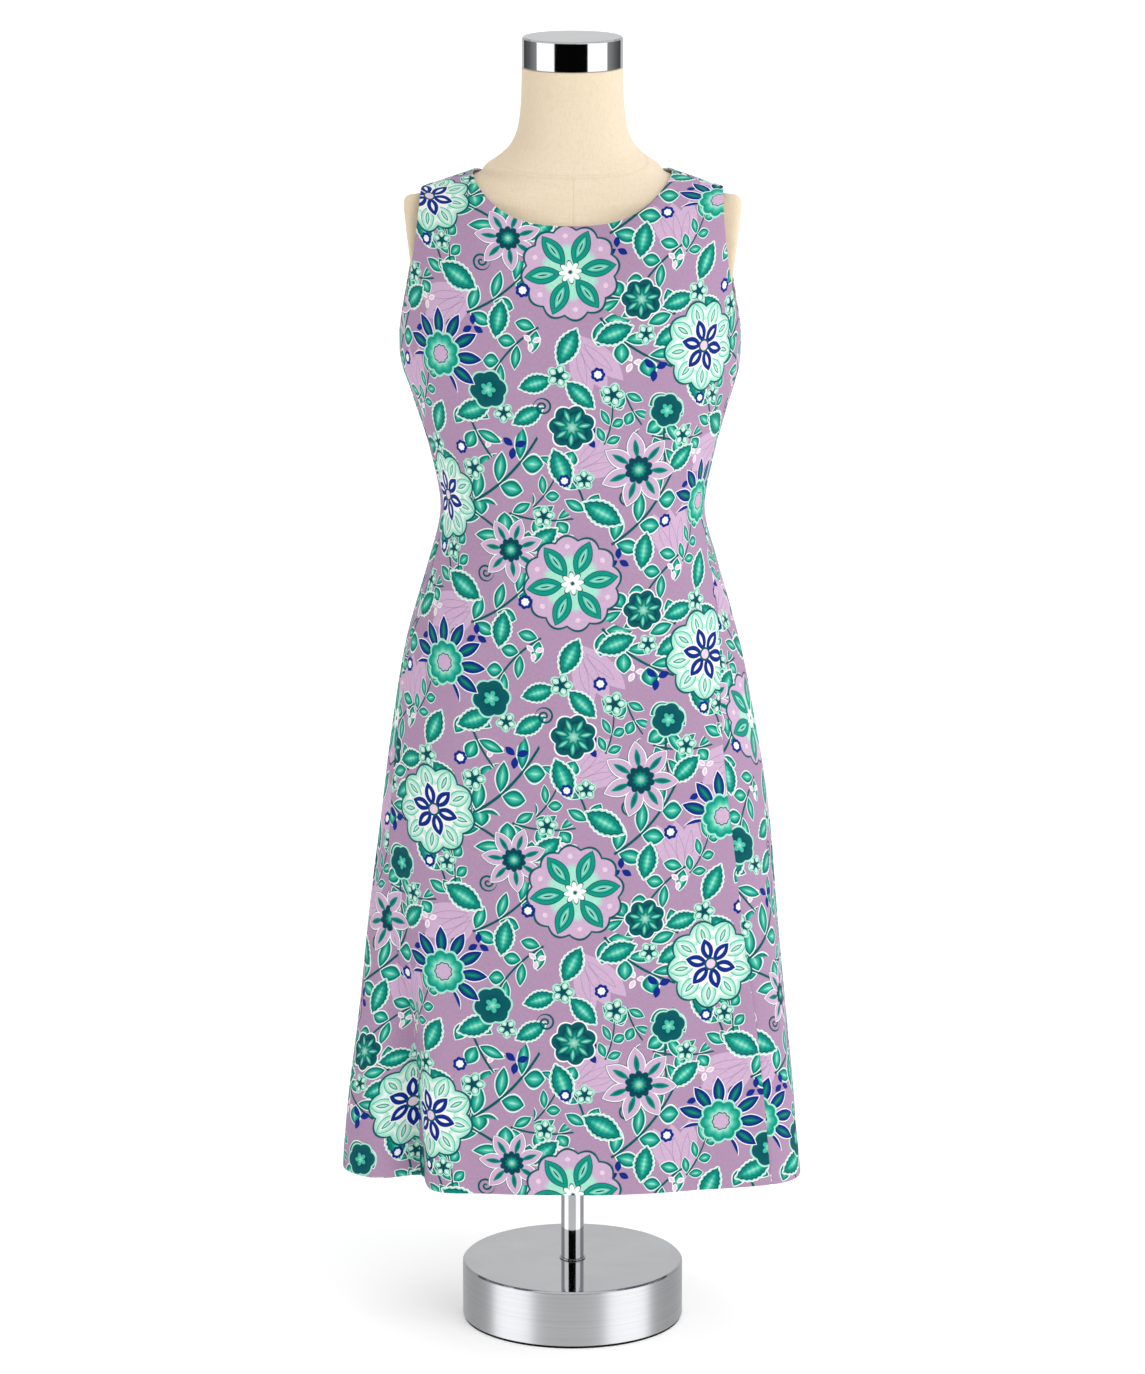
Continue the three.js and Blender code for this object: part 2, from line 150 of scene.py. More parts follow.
def grid_faces(rows, columns, around=True, over=False):
    """Faces of a grid of points, joined around each row, and over from the last row to the first."""
    number = np.arange(rows * columns).reshape(rows, columns)
    if around:
        number = np.hstack([number, number[:, :1]])
    if over:
        number = np.vstack([number, number[:1]])
    faces = [number[:-1, :-1], number[:-1, 1:], number[1:, 1:], number[1:, :-1]]
    return np.stack(faces, -1).reshape(-1, 4)


def plain_outline(radius, bottom, top, fillet):
    """The outline of a plain round piece with both edges rounded."""
    return rounded([
        (radius - RIM, bottom, 0), (radius, bottom, fillet), (radius, top, fillet), (radius - RIM, top, 0),
    ])


def turned(outline, sides, closed=False):
    """Points and faces of a solid turned about the stand's axis from an outline up its outside."""
    turns = np.linspace(0, 2 * math.pi, sides, endpoint=False)
    rings = len(outline)
    radius, height = outline[:, :1], outline[:, 1:]
    points = np.stack([radius * np.cos(turns), radius * np.sin(turns), height + 0 * turns], -1)
    faces = grid_faces(rings, sides, over=closed).tolist()
    if not closed:
        foot = list(range(sides))
        faces += [foot[::-1], [(rings - 1) * sides + corner for corner in foot]]
    return points.reshape(-1, 3), faces


# Moulded rubber: dull and almost black, with a fine grit that scatters what little light reaches it.
rubber, tree = new_material("moulded_rubber")
place = add_node(tree, "ShaderNodeTexCoord")["Object"]
grit = {"Vector": place, "Scale": 1 / (RUBBER_GRIT * MM), "Detail": 3.0}
grit = add_node(tree, "ShaderNodeTexNoise", grit)[0]
tone = {0: grit, 6: linear(RUBBER_BLACK), 7: linear(RUBBER_GREY)}
dents = {"Strength": 0.4, "Distance": RUBBER_DENTS * MM, "Height": grit}
finish_material(tree, {
    "Base Color": add_node(tree, "ShaderNodeMix", tone, data_type="RGBA")[2],
    "Roughness": 0.85,
    "Specular IOR Level": 0.2,
    "Normal": add_node(tree, "ShaderNodeBump", dents)[0],
})

radius, bottom, top = round_sizes("base_pad")
outline = plain_outline(radius + PAD_SPREAD, bottom, top, PAD_EDGE)
pad = add_piece("rubber_base_pad", *turned(outline, PAD_SIDES), rubber)
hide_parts("base_pad")
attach(pad, "root")


# ---- Weighted base ----
# A heavy steel drum, turned on a lathe and chrome plated. Its top is buffed to a mirror, its side
# keeps the fine lines of the turning, and a small bevel runs round the top edge.
BASE_SIDES = 224
BASE_BEVEL = 1.6
BASE_EDGE = 0.35
BASE_RIM = 6
# A top's outline ends at a small face of this radius in its middle.
HUB = 4
# Edges that turn by more than this are crisp in the plated pieces.
CRISP = math.radians(30)
CHROME = "#D3D4D6"
CHROME_SHADE = "#BDBEC1"
SMEAR_SIZE = 60.0
# Real turning lines are a tenth of a millimetre apart, too fine to show, so the ones drawn are coarser.
TURNING_PITCH = 1.6

# Buffed chrome plate: a mirror with a cool grey tone, and faint smears of polish that dull it in places.
buffed_chrome, tree = new_material("buffed_chrome_plate")
place = add_node(tree, "ShaderNodeTexCoord")["Object"]
smears = {"Vector": place, "Scale": 1 / (SMEAR_SIZE * MM), "Detail": 4.0, "Distortion": 0.6}
smears = add_node(tree, "ShaderNodeTexNoise", smears)[0]
tone = {0: smears, 6: linear(CHROME), 7: linear(CHROME_SHADE)}
dulled = {"Value": smears, 1: 0.3, 2: 0.8, 3: 0.045, 4: 0.10}
finish_material(tree, {
    "Base Color": add_node(tree, "ShaderNodeMix", tone, data_type="RGBA")[2],
    "Metallic": 1.0,
    "Roughness": add_node(tree, "ShaderNodeMapRange", dulled)[0],
})

# Turned chrome plate: lines round the drum spread each reflection upwards into a soft upright band.
turned_chrome, tree = new_material("turned_chrome_plate")
place = add_node(tree, "ShaderNodeTexCoord")["Object"]
squeezed = {0: place, 1: (4.0, 4.0, 1 / (TURNING_PITCH * MM))}
squeezed = add_node(tree, "ShaderNodeVectorMath", squeezed, operation="MULTIPLY")[0]
lines = add_node(tree, "ShaderNodeTexNoise", {"Vector": squeezed, "Scale": 1.0, "Detail": 2.0})[0]
tone = {0: lines, 6: linear(CHROME), 7: linear(CHROME_SHADE)}
dulled = {"Value": lines, 1: 0.3, 2: 0.7, 3: 0.30, 4: 0.33}
finish_material(tree, {
    "Base Color": add_node(tree, "ShaderNodeMix", tone, data_type="RGBA")[2],
    "Metallic": 1.0,
    "Roughness": add_node(tree, "ShaderNodeMapRange", dulled)[0],
    "Anisotropic": 0.35,
    "Anisotropic Rotation": 0.25,
    "Tangent": add_node(tree, "ShaderNodeTangent", direction_type="RADIAL", axis="Z")[0],
})

radius, bottom, top = round_sizes("stand_base")
outline = rounded([
    (radius - BASE_RIM, bottom, 0),
    (radius, bottom, BASE_EDGE),
    (radius, top - BASE_BEVEL, BASE_EDGE),
    (radius - BASE_BEVEL, top, BASE_EDGE),
    (radius - BASE_RIM, top, 0),
    (HUB, top, 0),
])
base = add_piece("weighted_base", *turned(outline, BASE_SIDES), buffed_chrome, turned_chrome)
base.data.set_sharp_from_angle(angle=CRISP)
for face in base.data.polygons:
    if abs(face.normal.z) < 0.2:
        face.material_index = 1
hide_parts("stand_base")
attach(base, "root")


# ---- Pole, its collar and its flange ----
# A chrome plated steel tube screwed into the base. A collar covers the joint, and a round flange
# at the top is screwed to the underside of the form.
POLE_SIDES = 96
TUBE_EDGE = 0.5
FLANGE_EDGE = 1.2
COLLAR_GAP = 0.3

for node, name, fillet in [
    ("stand_pole", "steel_pole", TUBE_EDGE),
    ("pole_flange", "top_flange", FLANGE_EDGE),
]:
    tube = add_piece(name, *turned(plain_outline(*round_sizes(node), fillet), POLE_SIDES), buffed_chrome)
    tube.data.set_sharp_from_angle(angle=CRISP)
    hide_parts(node)
    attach(tube, "root")

radius, bottom, top = round_sizes("pole_ring")
inner = round_sizes("stand_pole")[0] + COLLAR_GAP
outline = rounded([(inner, bottom, 0.1), (radius, bottom, 0.2), (radius, top, 0.7), (inner, top, 0.1)])
collar = add_piece("pole_collar", *turned(outline, POLE_SIDES, closed=True), buffed_chrome)
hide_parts("pole_ring")
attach(collar, "root")


# ---- Torso ----
# A moulded papier-mache body and neck, covered in cream linen pulled smooth and glued. The cover
# is sewn from pieces: a seam runs round the root of the neck, and another down the middle.

# Level sections: height, half width, depth forwards and depth backwards from the pole's line.
FORM_SECTIONS = [
    (440, 130, 78, 84),
    (452, 141, 88, 95),
    (500, 147, 94, 104),
    (580, 149, 98, 105),
    (640, 140, 96, 99),
    (700, 122.5, 92, 84),
    (748, 112, 88, 76),
    (800, 119.5, 93, 83),
    (850, 134, 106, 92),
    (888, 143, 112, 97),
    (930, 141, 106, 96),
    (970, 138, 92, 91),
    (1000, 137, 77, 84),
    (1016, 135, 69, 77),
    (1026, 126, 66, 72),
    (1035, 103.5, 60.5, 68),
    (1043.5, 82.5, 57, 62),
    (1051, 76, 56.5, 59),
    (1061, 62, 52.5, 55),
    (1070, 54, 49.5, 51),
    (1083, 48.6, 47, 48),
    (1105, 45.6, 45.4, 45.6),
    (1136.3, 44.7, 44.7, 44.7),
]
FORM_SQUARE = 0.015
# The cover's own surface lies this far inside the solid, so that it stays clear of the dress.
FORM_INSET = 0.6
NECK_TOP = 1136.3
NECK_RADIUS = 44
NECK_EDGE = 1.0
# The arm openings are flat, lean out at the top, and start above a ledge. Each plate stands in one.
ARM_LEAN = math.radians(7.3)
ARM_MIDDLE = 971
ARM_FACE = 142.2
ARM_SET_BACK = 18.3
ARM_OPENING = ARM_FACE - ARM_SET_BACK / math.cos(ARM_LEAN)
ARM_LEDGE = (904, 912)
ARM_CORNER = 2.0
# The neck seam lies on a plane that rises towards the nape, between two heights. The wall slopes
# there, so across it the seam is nearer than its height says.
NECK_SEAM_UP = 1061.5
NECK_SEAM_TILT = 0.235
NECK_SEAM_NEARER = 0.8
NECK_SEAM_LOW = 1020.0
NECK_SEAM_HIGH = 1110.0
SEAM_DEPTH = 0.6
SEAM_WIDE = 0.8
LINEN_LIGHT = "#EBDBC1"
LINEN_CREAM = "#E6D1B2"
LINEN_SHADE = "#D3B892"
# Linen threads are half a millimetre apart in truth, so they are drawn twice as coarse to show.
LINEN_THREAD = 1.1
THREAD_WANDER = 1.6
THREAD_RELIEF = 0.24
STITCH_DROP = 1.5
STITCH_SIZES = {"Pitch": 3.0 * MM, "Length": 2.1 * MM, "Thickness": 0.36 * MM}
THREAD_CREAM = "#E4D5B6"
THREAD_SHADE = "#CDB893"
THREAD_TWIST = 0.5


def between(rows, height):
    """Each column of a table of sizes at the given heights, on the smooth curve through its rows."""
    table = np.array(rows, float)
    marks = table[:, 0]
    last = len(table) - 1
    at = np.clip(height, marks[0], marks[-1])
    low = np.clip(np.searchsorted(marks, at) - 1, 0, last - 1)
    number = np.arange(last + 1)
    change = table[np.minimum(number + 1, last)] - table[np.maximum(number - 1, 0)]
    slope = change / change[:, :1]
    step = (marks[low + 1] - marks[low])[..., None]
    s = (at - marks[low])[..., None] / step
    rise = s * s * (3 - 2 * s)
    level = table[low] * (1 - rise) + table[low + 1] * rise
    level += slope[low] * step * s * (1 - s) ** 2 - slope[low + 1] * step * s * s * (1 - s)
    return np.moveaxis(level, -1, 0)


def round_shares(angle, square):
    """Shares of the half width and depth at an angle round a section a little squarer than an ellipse."""
    t = np.radians(angle)
    across = (np.cos(t) - square * np.cos(3 * t)) / (1 - square)
    forward = (np.sin(t) + square * np.sin(3 * t)) / (1 - square)
    return across, forward


def smooth_step(low, high, value):
    s = np.clip((value - low) / (high - low), 0, 1)
    return s * s * (3 - 2 * s)


def notch(distance, wide):
    return np.exp(-((distance / wide) ** 2))


def along_rows(grid, axis=1):
    """How far each point of a grid lies from the first in its row, or in its column with axis 0."""
    steps = np.diff(grid, axis=axis, prepend=np.take(grid, [0], axis))
    return np.cumsum(np.linalg.norm(steps, axis=-1), axis=axis)


def grid_normals(grid, hand=-1):
    """Unit normals of a grid of points, from its own rows and columns. The hand turns them to face out."""
    normal = np.cross(np.gradient(grid, axis=1), np.gradient(grid, axis=0)) * hand
    return normal / np.linalg.norm(normal, axis=-1, keepdims=True)


def torso_point(angle, height):
    """A point of the bare torso, without its seams."""
    _, half, front, back = between(FORM_SECTIONS, height)
    across, forward = round_shares(angle, FORM_SQUARE)
    x = (half - FORM_INSET) * across
    depth = np.where(forward >= 0, front, back) - FORM_INSET
    opening = ARM_OPENING + (height - ARM_MIDDLE) * math.tan(ARM_LEAN)
    limit = half + (opening - half) * smooth_step(*ARM_LEDGE, height)
    over = np.abs(x) - limit
    # Past the opening's plane the wall bends into it on a small radius
    flat = limit + (over - np.sqrt(over * over + ARM_CORNER**2)) / 2
    x = np.where(height > ARM_LEDGE[0], np.sign(x) * np.minimum(np.abs(x), flat), x)
    return np.stack([x, -depth * forward, height], -1)


def set_cloth_map(piece, flat):
    """Lays the UV map "cloth" on a mesh: where each point lies on the flat cloth, in metres."""
    mesh = piece.data
    corners = np.empty(len(mesh.loops), dtype=np.int32)
    mesh.loops.foreach_get("vertex_index", corners)
    layer = mesh.uv_layers.new(name="cloth")
    layer.uv.foreach_set("vector", (flat[corners] * MM).astype(np.float32).ravel())


# Columns and rows crowd together where the seams run.
near = np.array([0.15, 0.3, 0.45, 0.6, 0.8, 1.0, 1.3, 1.7, 2.2])
angles = np.arange(0, 360, 2.5)
angles = np.unique(np.concatenate([angles, *[(mid + s * near) for mid in (90, 270) for s in (-1, 1)]]))
spans = [(440, 452, 7), (452, 900, 76), (900, 916, 13), (916, 1036, 31), (1036, 1080, 74)]
spans.append((1080, NECK_TOP - 2, 20))
curl = NECK_TOP - NECK_EDGE + NECK_EDGE * np.sin(np.linspace(0, math.pi / 2, 5))
heights = np.unique(np.concatenate([*[np.linspace(*span) for span in spans], curl]))
angle, height = np.meshgrid(angles, heights)
torso = torso_point(angle, height)
outward = grid_normals(torso)
neck_seam = (torso[..., 2] - NECK_SEAM_UP - NECK_SEAM_TILT * torso[..., 1]) * NECK_SEAM_NEARER
below = smooth_step(0.5, -1.5, neck_seam)
groove = notch(neck_seam, SEAM_WIDE) + notch(torso[..., 0], SEAM_WIDE) * below
torso = torso - outward * (SEAM_DEPTH * np.minimum(groove, 1))[..., None]
edge = np.clip(torso[..., 2:] - (NECK_TOP - NECK_EDGE), 0, 1)
torso[..., :2] *= 1 - (1 - np.sqrt(1 - edge * edge)) * NECK_EDGE / NECK_RADIUS
rows, columns = angle.shape
around = along_rows(torso)
start = np.array([np.interp(90, angles, row) for row in around])[:, None]
flat = np.stack([around - start, along_rows(torso, axis=0)], -1).reshape(-1, 2)
faces = grid_faces(rows, columns)[:, [0, 3, 2, 1]].tolist()
faces += [list(range(columns)), list(range(rows * columns - 1, (rows - 1) * columns - 1, -1))]

# Glued linen: a plain weave of uneven threads, matt and warm, a little darker where it has yellowed, with
# painted shade in the gaps between its threads.
linen, tree = new_material("cream_linen")
place = add_node(tree, "ShaderNodeUVMap", uv_map="cloth")[0]
object_place = add_node(tree, "ShaderNodeTexCoord")["Object"]
wander = add_node(tree, "ShaderNodeTexNoise", {"Vector": place, "Scale": 140.0, "Detail": 2.0})["Color"]
shift = {0: wander, 1: (THREAD_WANDER * MM,) * 3, 2: place}
shift = add_node(tree, "ShaderNodeVectorMath", shift, operation="MULTIPLY_ADD")[0]
threads = []
for stretch in ((1.0, 0.16, 1.0), (0.16, 1.0, 1.0)):
    stretched = add_node(tree, "ShaderNodeVectorMath", {0: shift, 1: stretch}, operation="MULTIPLY")[0]
    fibres = {"Vector": stretched, "Scale": 1 / (LINEN_THREAD * MM), "Detail": 1.0}
    threads.append(add_node(tree, "ShaderNodeTexNoise", fibres)[0])
weave = add_node(tree, "ShaderNodeMath", {0: threads[0], 1: threads[1]}, operation="ADD")[0]
age = {"Vector": object_place, "Scale": 7.0, "Detail": 2.0, "Roughness": 0.5}
age = {"Value": add_node(tree, "ShaderNodeTexNoise", age)[0], 1: 0.3, 2: 0.75, 3: 0.0, 4: 0.8}
tone = {0: add_node(tree, "ShaderNodeMapRange", age)[0], 6: linear(LINEN_LIGHT), 7: linear(LINEN_CREAM)}
tone = add_node(tree, "ShaderNodeMix", tone, data_type="RGBA")[2]
# Painted shade: where the weave is low, in the gaps between the threads, the colour is painted darker
# towards LINEN_SHADE.
gap_shade = add_node(tree, "ShaderNodeMapRange", {"Value": weave, 1: 0.72, 2: 1.05, 3: 0.24, 4: 0.0})[0]
woven = {0: gap_shade, 6: tone, 7: linear(LINEN_SHADE)}
threads_up = {"Strength": 0.5, "Distance": THREAD_RELIEF * MM, "Height": weave}
finish_material(tree, {
    "Base Color": add_node(tree, "ShaderNodeMix", woven, data_type="RGBA")[2],
    "Roughness": 0.82,
    "Specular IOR Level": 0.3,
    "Sheen Weight": 0.1,
    "Normal": add_node(tree, "ShaderNodeBump", threads_up)[0],
})

body = add_piece("linen_torso", torso.reshape(-1, 3), faces, linen)
set_cloth_map(body, flat)
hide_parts("form_torso")
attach(body, "root")

# Sewing thread: twisted cotton a shade darker than the linen, its twist a fine slanting rib.
thread, tree = new_material("cotton_thread")
place = add_node(tree, "ShaderNodeTexCoord")["Object"]
twist = {"Vector": place, "Scale": 1 / (THREAD_TWIST * MM), "Detail": 1.0}
twist = add_node(tree, "ShaderNodeTexNoise", twist)[0]
tone = {0: twist, 6: linear(THREAD_SHADE), 7: linear(THREAD_CREAM)}
finish_material(tree, {
    "Base Color": add_node(tree, "ShaderNodeMix", tone, data_type="RGBA")[2],
    "Roughness": 0.7,
    "Sheen Weight": 0.2,
    "Normal": add_node(tree, "ShaderNodeBump", {"Strength": 0.5, "Distance": 0.1 * MM, "Height": twist})[0],
})

# Stitches of cream thread lie along the lower side of the neck seam, one stitch after another.
stitch_tree = bpy.data.node_groups.new("seam_stitches", "GeometryNodeTree")
sockets = {}
for name in ("Path", *STITCH_SIZES, "Thread"):
    kind = {"Path": "Geometry", "Thread": "Material"}.get(name, "Float")
    sockets[name] = stitch_tree.interface.new_socket(name, in_out="INPUT", socket_type="NodeSocket" + kind)
    if name in STITCH_SIZES:
        sockets[name].default_value = STITCH_SIZES[name]
stitch_tree.interface.new_socket("Stitches", in_out="OUTPUT", socket_type="NodeSocketGeometry")
given = add_node(stitch_tree, "NodeGroupInput")
path = add_node(stitch_tree, "GeometryNodeMeshToCurve", {"Mesh": given["Path"]})[0]
spots = {"Curve": path, "Length": given["Pitch"]}
spots = add_node(stitch_tree, "GeometryNodeCurveToPoints", spots, mode="LENGTH")
bead = add_node(stitch_tree, "GeometryNodeMeshUVSphere", {"Segments": 8, "Rings": 6, "Radius": 0.5})[0]
size = {0: given["Thickness"], 1: given["Thickness"], 2: given["Length"]}
size = add_node(stitch_tree, "ShaderNodeCombineXYZ", size)[0]
spread = {"Min": (-0.09, -0.09, -0.05), "Max": (0.09, 0.09, 0.05), "Seed": 7}
spread = add_node(stitch_tree, "FunctionNodeRandomValue", spread, data_type="FLOAT_VECTOR")[0]
turn = add_node(stitch_tree, "FunctionNodeEulerToRotation", {0: spread})[0]
lay = {0: spots["Rotation"], 1: turn}
lay = add_node(stitch_tree, "FunctionNodeRotateRotation", lay, rotation_space="LOCAL")[0]
laid = {"Points": spots["Points"], "Instance": bead, "Rotation": lay, "Scale": size}
laid = add_node(stitch_tree, "GeometryNodeInstanceOnPoints", laid)[0]
laid = add_node(stitch_tree, "GeometryNodeRealizeInstances", {0: laid})[0]
laid = add_node(stitch_tree, "GeometryNodeSetShadeSmooth", {0: laid})[0]
laid = add_node(stitch_tree, "GeometryNodeSetMaterial", {"Geometry": laid, "Material": given["Thread"]})[0]
add_node(stitch_tree, "NodeGroupOutput", {0: laid})

# The seam's line round the root of the neck is found by halving the gap above and below it.
turns = np.arange(0, 360, 1.5)
low = np.full_like(turns, NECK_SEAM_LOW)
high = np.full_like(turns, NECK_SEAM_HIGH)
for _ in range(30):
    middle = (low + high) / 2
    x, y, z = np.moveaxis(torso_point(turns, middle), -1, 0)
    over = z > NECK_SEAM_UP - STITCH_DROP + NECK_SEAM_TILT * y
    high = np.where(over, middle, high)
    low = np.where(over, low, middle)
links = [(i, (i + 1) % len(turns)) for i in range(len(turns))]
mesh = bpy.data.meshes.new("neck_seam_line")
mesh.from_pydata(torso_point(turns, middle) * MM, links, [])
line = bpy.data.objects.new("neck_seam_line", mesh)
bpy.context.scene.collection.objects.link(line)
sewing = line.modifiers.new("stitches", "NODES")
sewing.node_group = stitch_tree
for name, value in {**STITCH_SIZES, "Thread": thread}.items():
    sewing[sockets[name].identifier] = value
mesh = bpy.data.meshes.new_from_object(line.evaluated_get(bpy.context.evaluated_depsgraph_get()))
mesh.name = "neck_seam_stitches"
stitches = bpy.data.objects.new("neck_seam_stitches", mesh)
bpy.context.scene.collection.objects.link(stitches)
bpy.data.objects.remove(line)
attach(stitches, "root")


# ---- Arm plates ----
# Two oval drums of wood that close the arm openings, covered in the same linen with soft rounded
# edges. Each is screwed to its opening and leans out a little at the top.
PLATE_SIDES = 120
PLATE_HIGH = 53.0
PLATE_DEEP = 33.0
PLATE_THICK = 18.0
PLATE_EDGE = 7.0
PLATE_REAR_EDGE = 0.6
PLATE_BACK = 3.0
PLATE_GIRTH = 44
# Wadding under the linen makes the face gently domed.
PLATE_DOME = 0.9

# A drum lies along X, from its back at the opening to its covered face.
turns = np.linspace(0, 2 * math.pi, PLATE_SIDES, endpoint=False)
outline = [(1.0 - PLATE_REAR_EDGE / PLATE_HIGH, -PLATE_THICK), (1.0, -PLATE_THICK + PLATE_REAR_EDGE)]
for t in np.linspace(0, math.pi / 2, 9):
    outline.append((1 - PLATE_EDGE / PLATE_HIGH * (1 - math.cos(t)), -PLATE_EDGE * (1 - math.sin(t))))
outline = np.array(outline + [(share, 0.0) for share in (0.8, 0.6, 0.4, 0.2)])
share, out = outline[:, :1], outline[:, 1:]
dome = PLATE_DOME * (1 - np.clip(share / 0.87, 0, 1) ** 2) * (out == 0)
outwards = out + dome + 0 * turns
face = np.stack([share * PLATE_DEEP * np.cos(turns), share * PLATE_HIGH * np.sin(turns)], -1)
rim = np.stack([0 * out + turns * PLATE_GIRTH, out + 0 * turns], -1)
x = ARM_FACE - PLATE_DOME + outwards * math.cos(ARM_LEAN) + face[..., 1] * math.sin(ARM_LEAN)
z = ARM_MIDDLE - outwards * math.sin(ARM_LEAN) + face[..., 1] * math.cos(ARM_LEAN)
rings = len(outline)
corners = list(range(PLATE_SIDES))
right_faces = grid_faces(rings, PLATE_SIDES).tolist()
right_faces += [corners[::-1], [(rings - 1) * PLATE_SIDES + corner for corner in corners]]
left_faces = [corners[::-1] for corners in right_faces]
for node, name, hand, faces in [
    ("arm_plate_right", "right_arm_plate", 1, right_faces),
    ("arm_plate_left", "left_arm_plate", -1, left_faces),
]:
    points = np.stack([hand * x, face[..., 0] + PLATE_BACK, z], -1)
    plate = add_piece(name, points.reshape(-1, 3), faces, linen)
    set_cloth_map(plate, np.where((share < 0.9)[..., None], face, rim).reshape(-1, 2))
    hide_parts(node)
    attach(plate, "root")


# ---- Neck cap ----
# A polished chrome disc that finishes the top of the neck. It is spun from sheet, plated and
# pinned into the form, and its top edge is broken by a small bevel.
CAP_SIDES = 160
CAP_BEVEL = 1.5
CAP_EDGE = 0.6
CAP_FOOT_EDGE = 0.3
CAP_RIM = 5

radius, bottom, top = round_sizes("neck_cap")
outline = rounded([
    (radius - RIM, bottom, 0),
    (radius, bottom, CAP_FOOT_EDGE),
    (radius, top - CAP_BEVEL, CAP_EDGE),
    (radius - CAP_BEVEL, top, CAP_EDGE),
    (radius - CAP_RIM, top, 0),
    (HUB, top, 0),
])
cap = add_piece("chrome_neck_cap", *turned(outline, CAP_SIDES), buffed_chrome)
cap.data.set_sharp_from_angle(angle=CRISP)
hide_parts("neck_cap")
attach(cap, "root")


# ---- Dress ----
# A sleeveless A-line dress of printed sateen, cut as one front and one back panel. They are sewn
# together down the sides and over the shoulders, with a dart at each side of the bust, a turned
# hem, and a neckline and armholes turned under.
HEM = 150.0
BUST = 888.0
UNDERARM = 906.0
WALL = 1.5
SEAM_GAP = 0.04
EDGE_BULGE = 0.6
# Each seam dips, with a low cushion a little way beside it.
SEAM_DIP = 0.45
SEAM_DIP_WIDE = 1.4
CUSHION = 0.3
CUSHION_OFF = 6
CUSHION_WIDE = 4
# The turnings inside the edges end in a faint step: how high, and where it starts and ends.
TURNING_STEP = 0.3
ARMHOLE_TURNING = (11, 8)
NECK_TURNING = (13, 10)
HEM_STEP = 0.35
HEM_TURNING = (26, 22)
# Rows of points up the skirt, from the bust to the underarm and on to the shoulder, and the finer
# rows at the hem and at the top, as shares of the skirt and of the bodice.
SKIRT_ROWS = 160
UNDERARM_ROWS = 5
BODICE_ROWS = 48
HEM_ROWS = [0.0007, 0.0016, 0.003]
TOP_ROWS = [0.997, 0.9925, 0.986]
# How finely a section, a roll and a walk along the cloth are stepped through.
SECTION_STEPS = 1500
ROLL_STEPS = 3000
WALK_STEPS = 40
# A crease bows sideways by this share of its length.
CREASE_BOW = 0.04
# The shoulder seam runs down one straight slope from the side of the neck to the tip.
NECK_HALF = 87.0
TIP_HALF = 131.0
SHOULDER_TOP = 1080.4
SHOULDER_FALL = 0.36
SHOULDER_ROUND = 40.0
NECK_SHARE = 2 / 3
DRESS_SQUARE = 0.03
# Level sections: height, half width, lean to the right, depth forwards and depth backwards.
DRESS_SECTIONS = [
    (120, 204.5, 0.5, 118, 127),
    (204, 198.5, 0.3, 116, 124.5),
    (290, 190, 1.2, 114, 122),
    (386, 181, 1.8, 111.5, 119),
    (472, 172.4, 2.6, 108.5, 116),
    (564, 159.6, 0.9, 105, 111),
    (628, 147.6, 0, 103.5, 105),
    (700, 127.6, 0, 102, 94.5),
    (748, 116.8, 0, 102.5, 90),
    (800, 125, 0, 106.5, 93),
    (856, 141.3, -0.8, 113.3, 99.3),
    (874, 147.2, -1.7, 115.6, 100.8),
    (888, 149.5, -2.2, 116.2, 101.2),
]
# Long soft folds: angle at the hem and at the top, spread, reach out or in, and the heights where
# each starts to fade and ends. Angles go round from the viewer's right (0) over the front (90), the
# left (180) and the back (270).
FOLDS = [
    (29, 33, 15, 17, 120, 620),
    (62, 64, 9, -3, 120, 560),
    (121, 139, 8, 7, 120, 500),
    (135.5, 149, 8, -34, 120, 500),
    (163, 168, 12, 9, 120, 600),
    (205, 210, 13, -12, 120, 560),
    (232, 236, 13, 8, 120, 640),
    (262, 262, 14, -11, 120, 600),
    (292, 290, 13, 7, 120, 620),
    (324, 320, 13, -12, 120, 560),
]
# Spare cloth at the small of the back: angle, spread, reach, middle height and how far it runs.
WAIST_FOLDS = [
    (236, 9, 12, 742, 105),
    (254, 9, -8, 738, 95),
    (270, 8, 10, 735, 90),
    (287, 9, -8, 740, 95),
    (305, 9, 12, 745, 105),
]
# How far round the side seams swing forwards of the sides at each height, on the right and on the left.
SEAM_TURNS = [
    (148, 37, 44.5),
    (282, 38, 40),
    (352, 39.5, 32),
    (400, 40.5, 26),
    (511, 41, 18),
    (600, 36, 16),
    (680, 22, 16),
    (748, 12, 16),
    (820, 10, 13),
    (862, 3, 4),
    (888, 0, 0),
]
# Soft creases by their place on the flat panel: start across and up, end across and up, how wide and
# how high.
FRONT_CREASES = [
    (-118, 706, -60, 716, 2.0, -0.9),
    (118, 706, 62, 716, 2.0, -0.8),
    (-96, 600, -40, 585, 9.0, -1.2),
    (-100, 622, -48, 612, 7.0, 0.9),
    (98, 596, 44, 580, 9.0, -1.0),
    (96, 618, 50, 606, 7.0, 0.8),
    (-70, 560, -30, 470, 14.0, 1.2),
    (66, 552, 34, 450, 14.0, 1.0),
    (-20, 575, 24, 568, 10.0, -0.7),
    (-52, 690, -30, 640, 13.0, -0.9),
    (50, 690, 34, 640, 13.0, -0.8),
    (-84, 830, -58, 790, 8.0, -0.8),
    (86, 828, 60, 790, 8.0, -0.7),
    (-12, 470, -22, 320, 16.0, 0.9),
    (30, 430, 44, 300, 15.0, -0.9),
    (-60, 330, -66, 190, 14.0, 0.8),
    (10, 250, 16, 80, 18.0, 0.9),
    (70, 220, 78, 60, 15.0, 0.8),
]
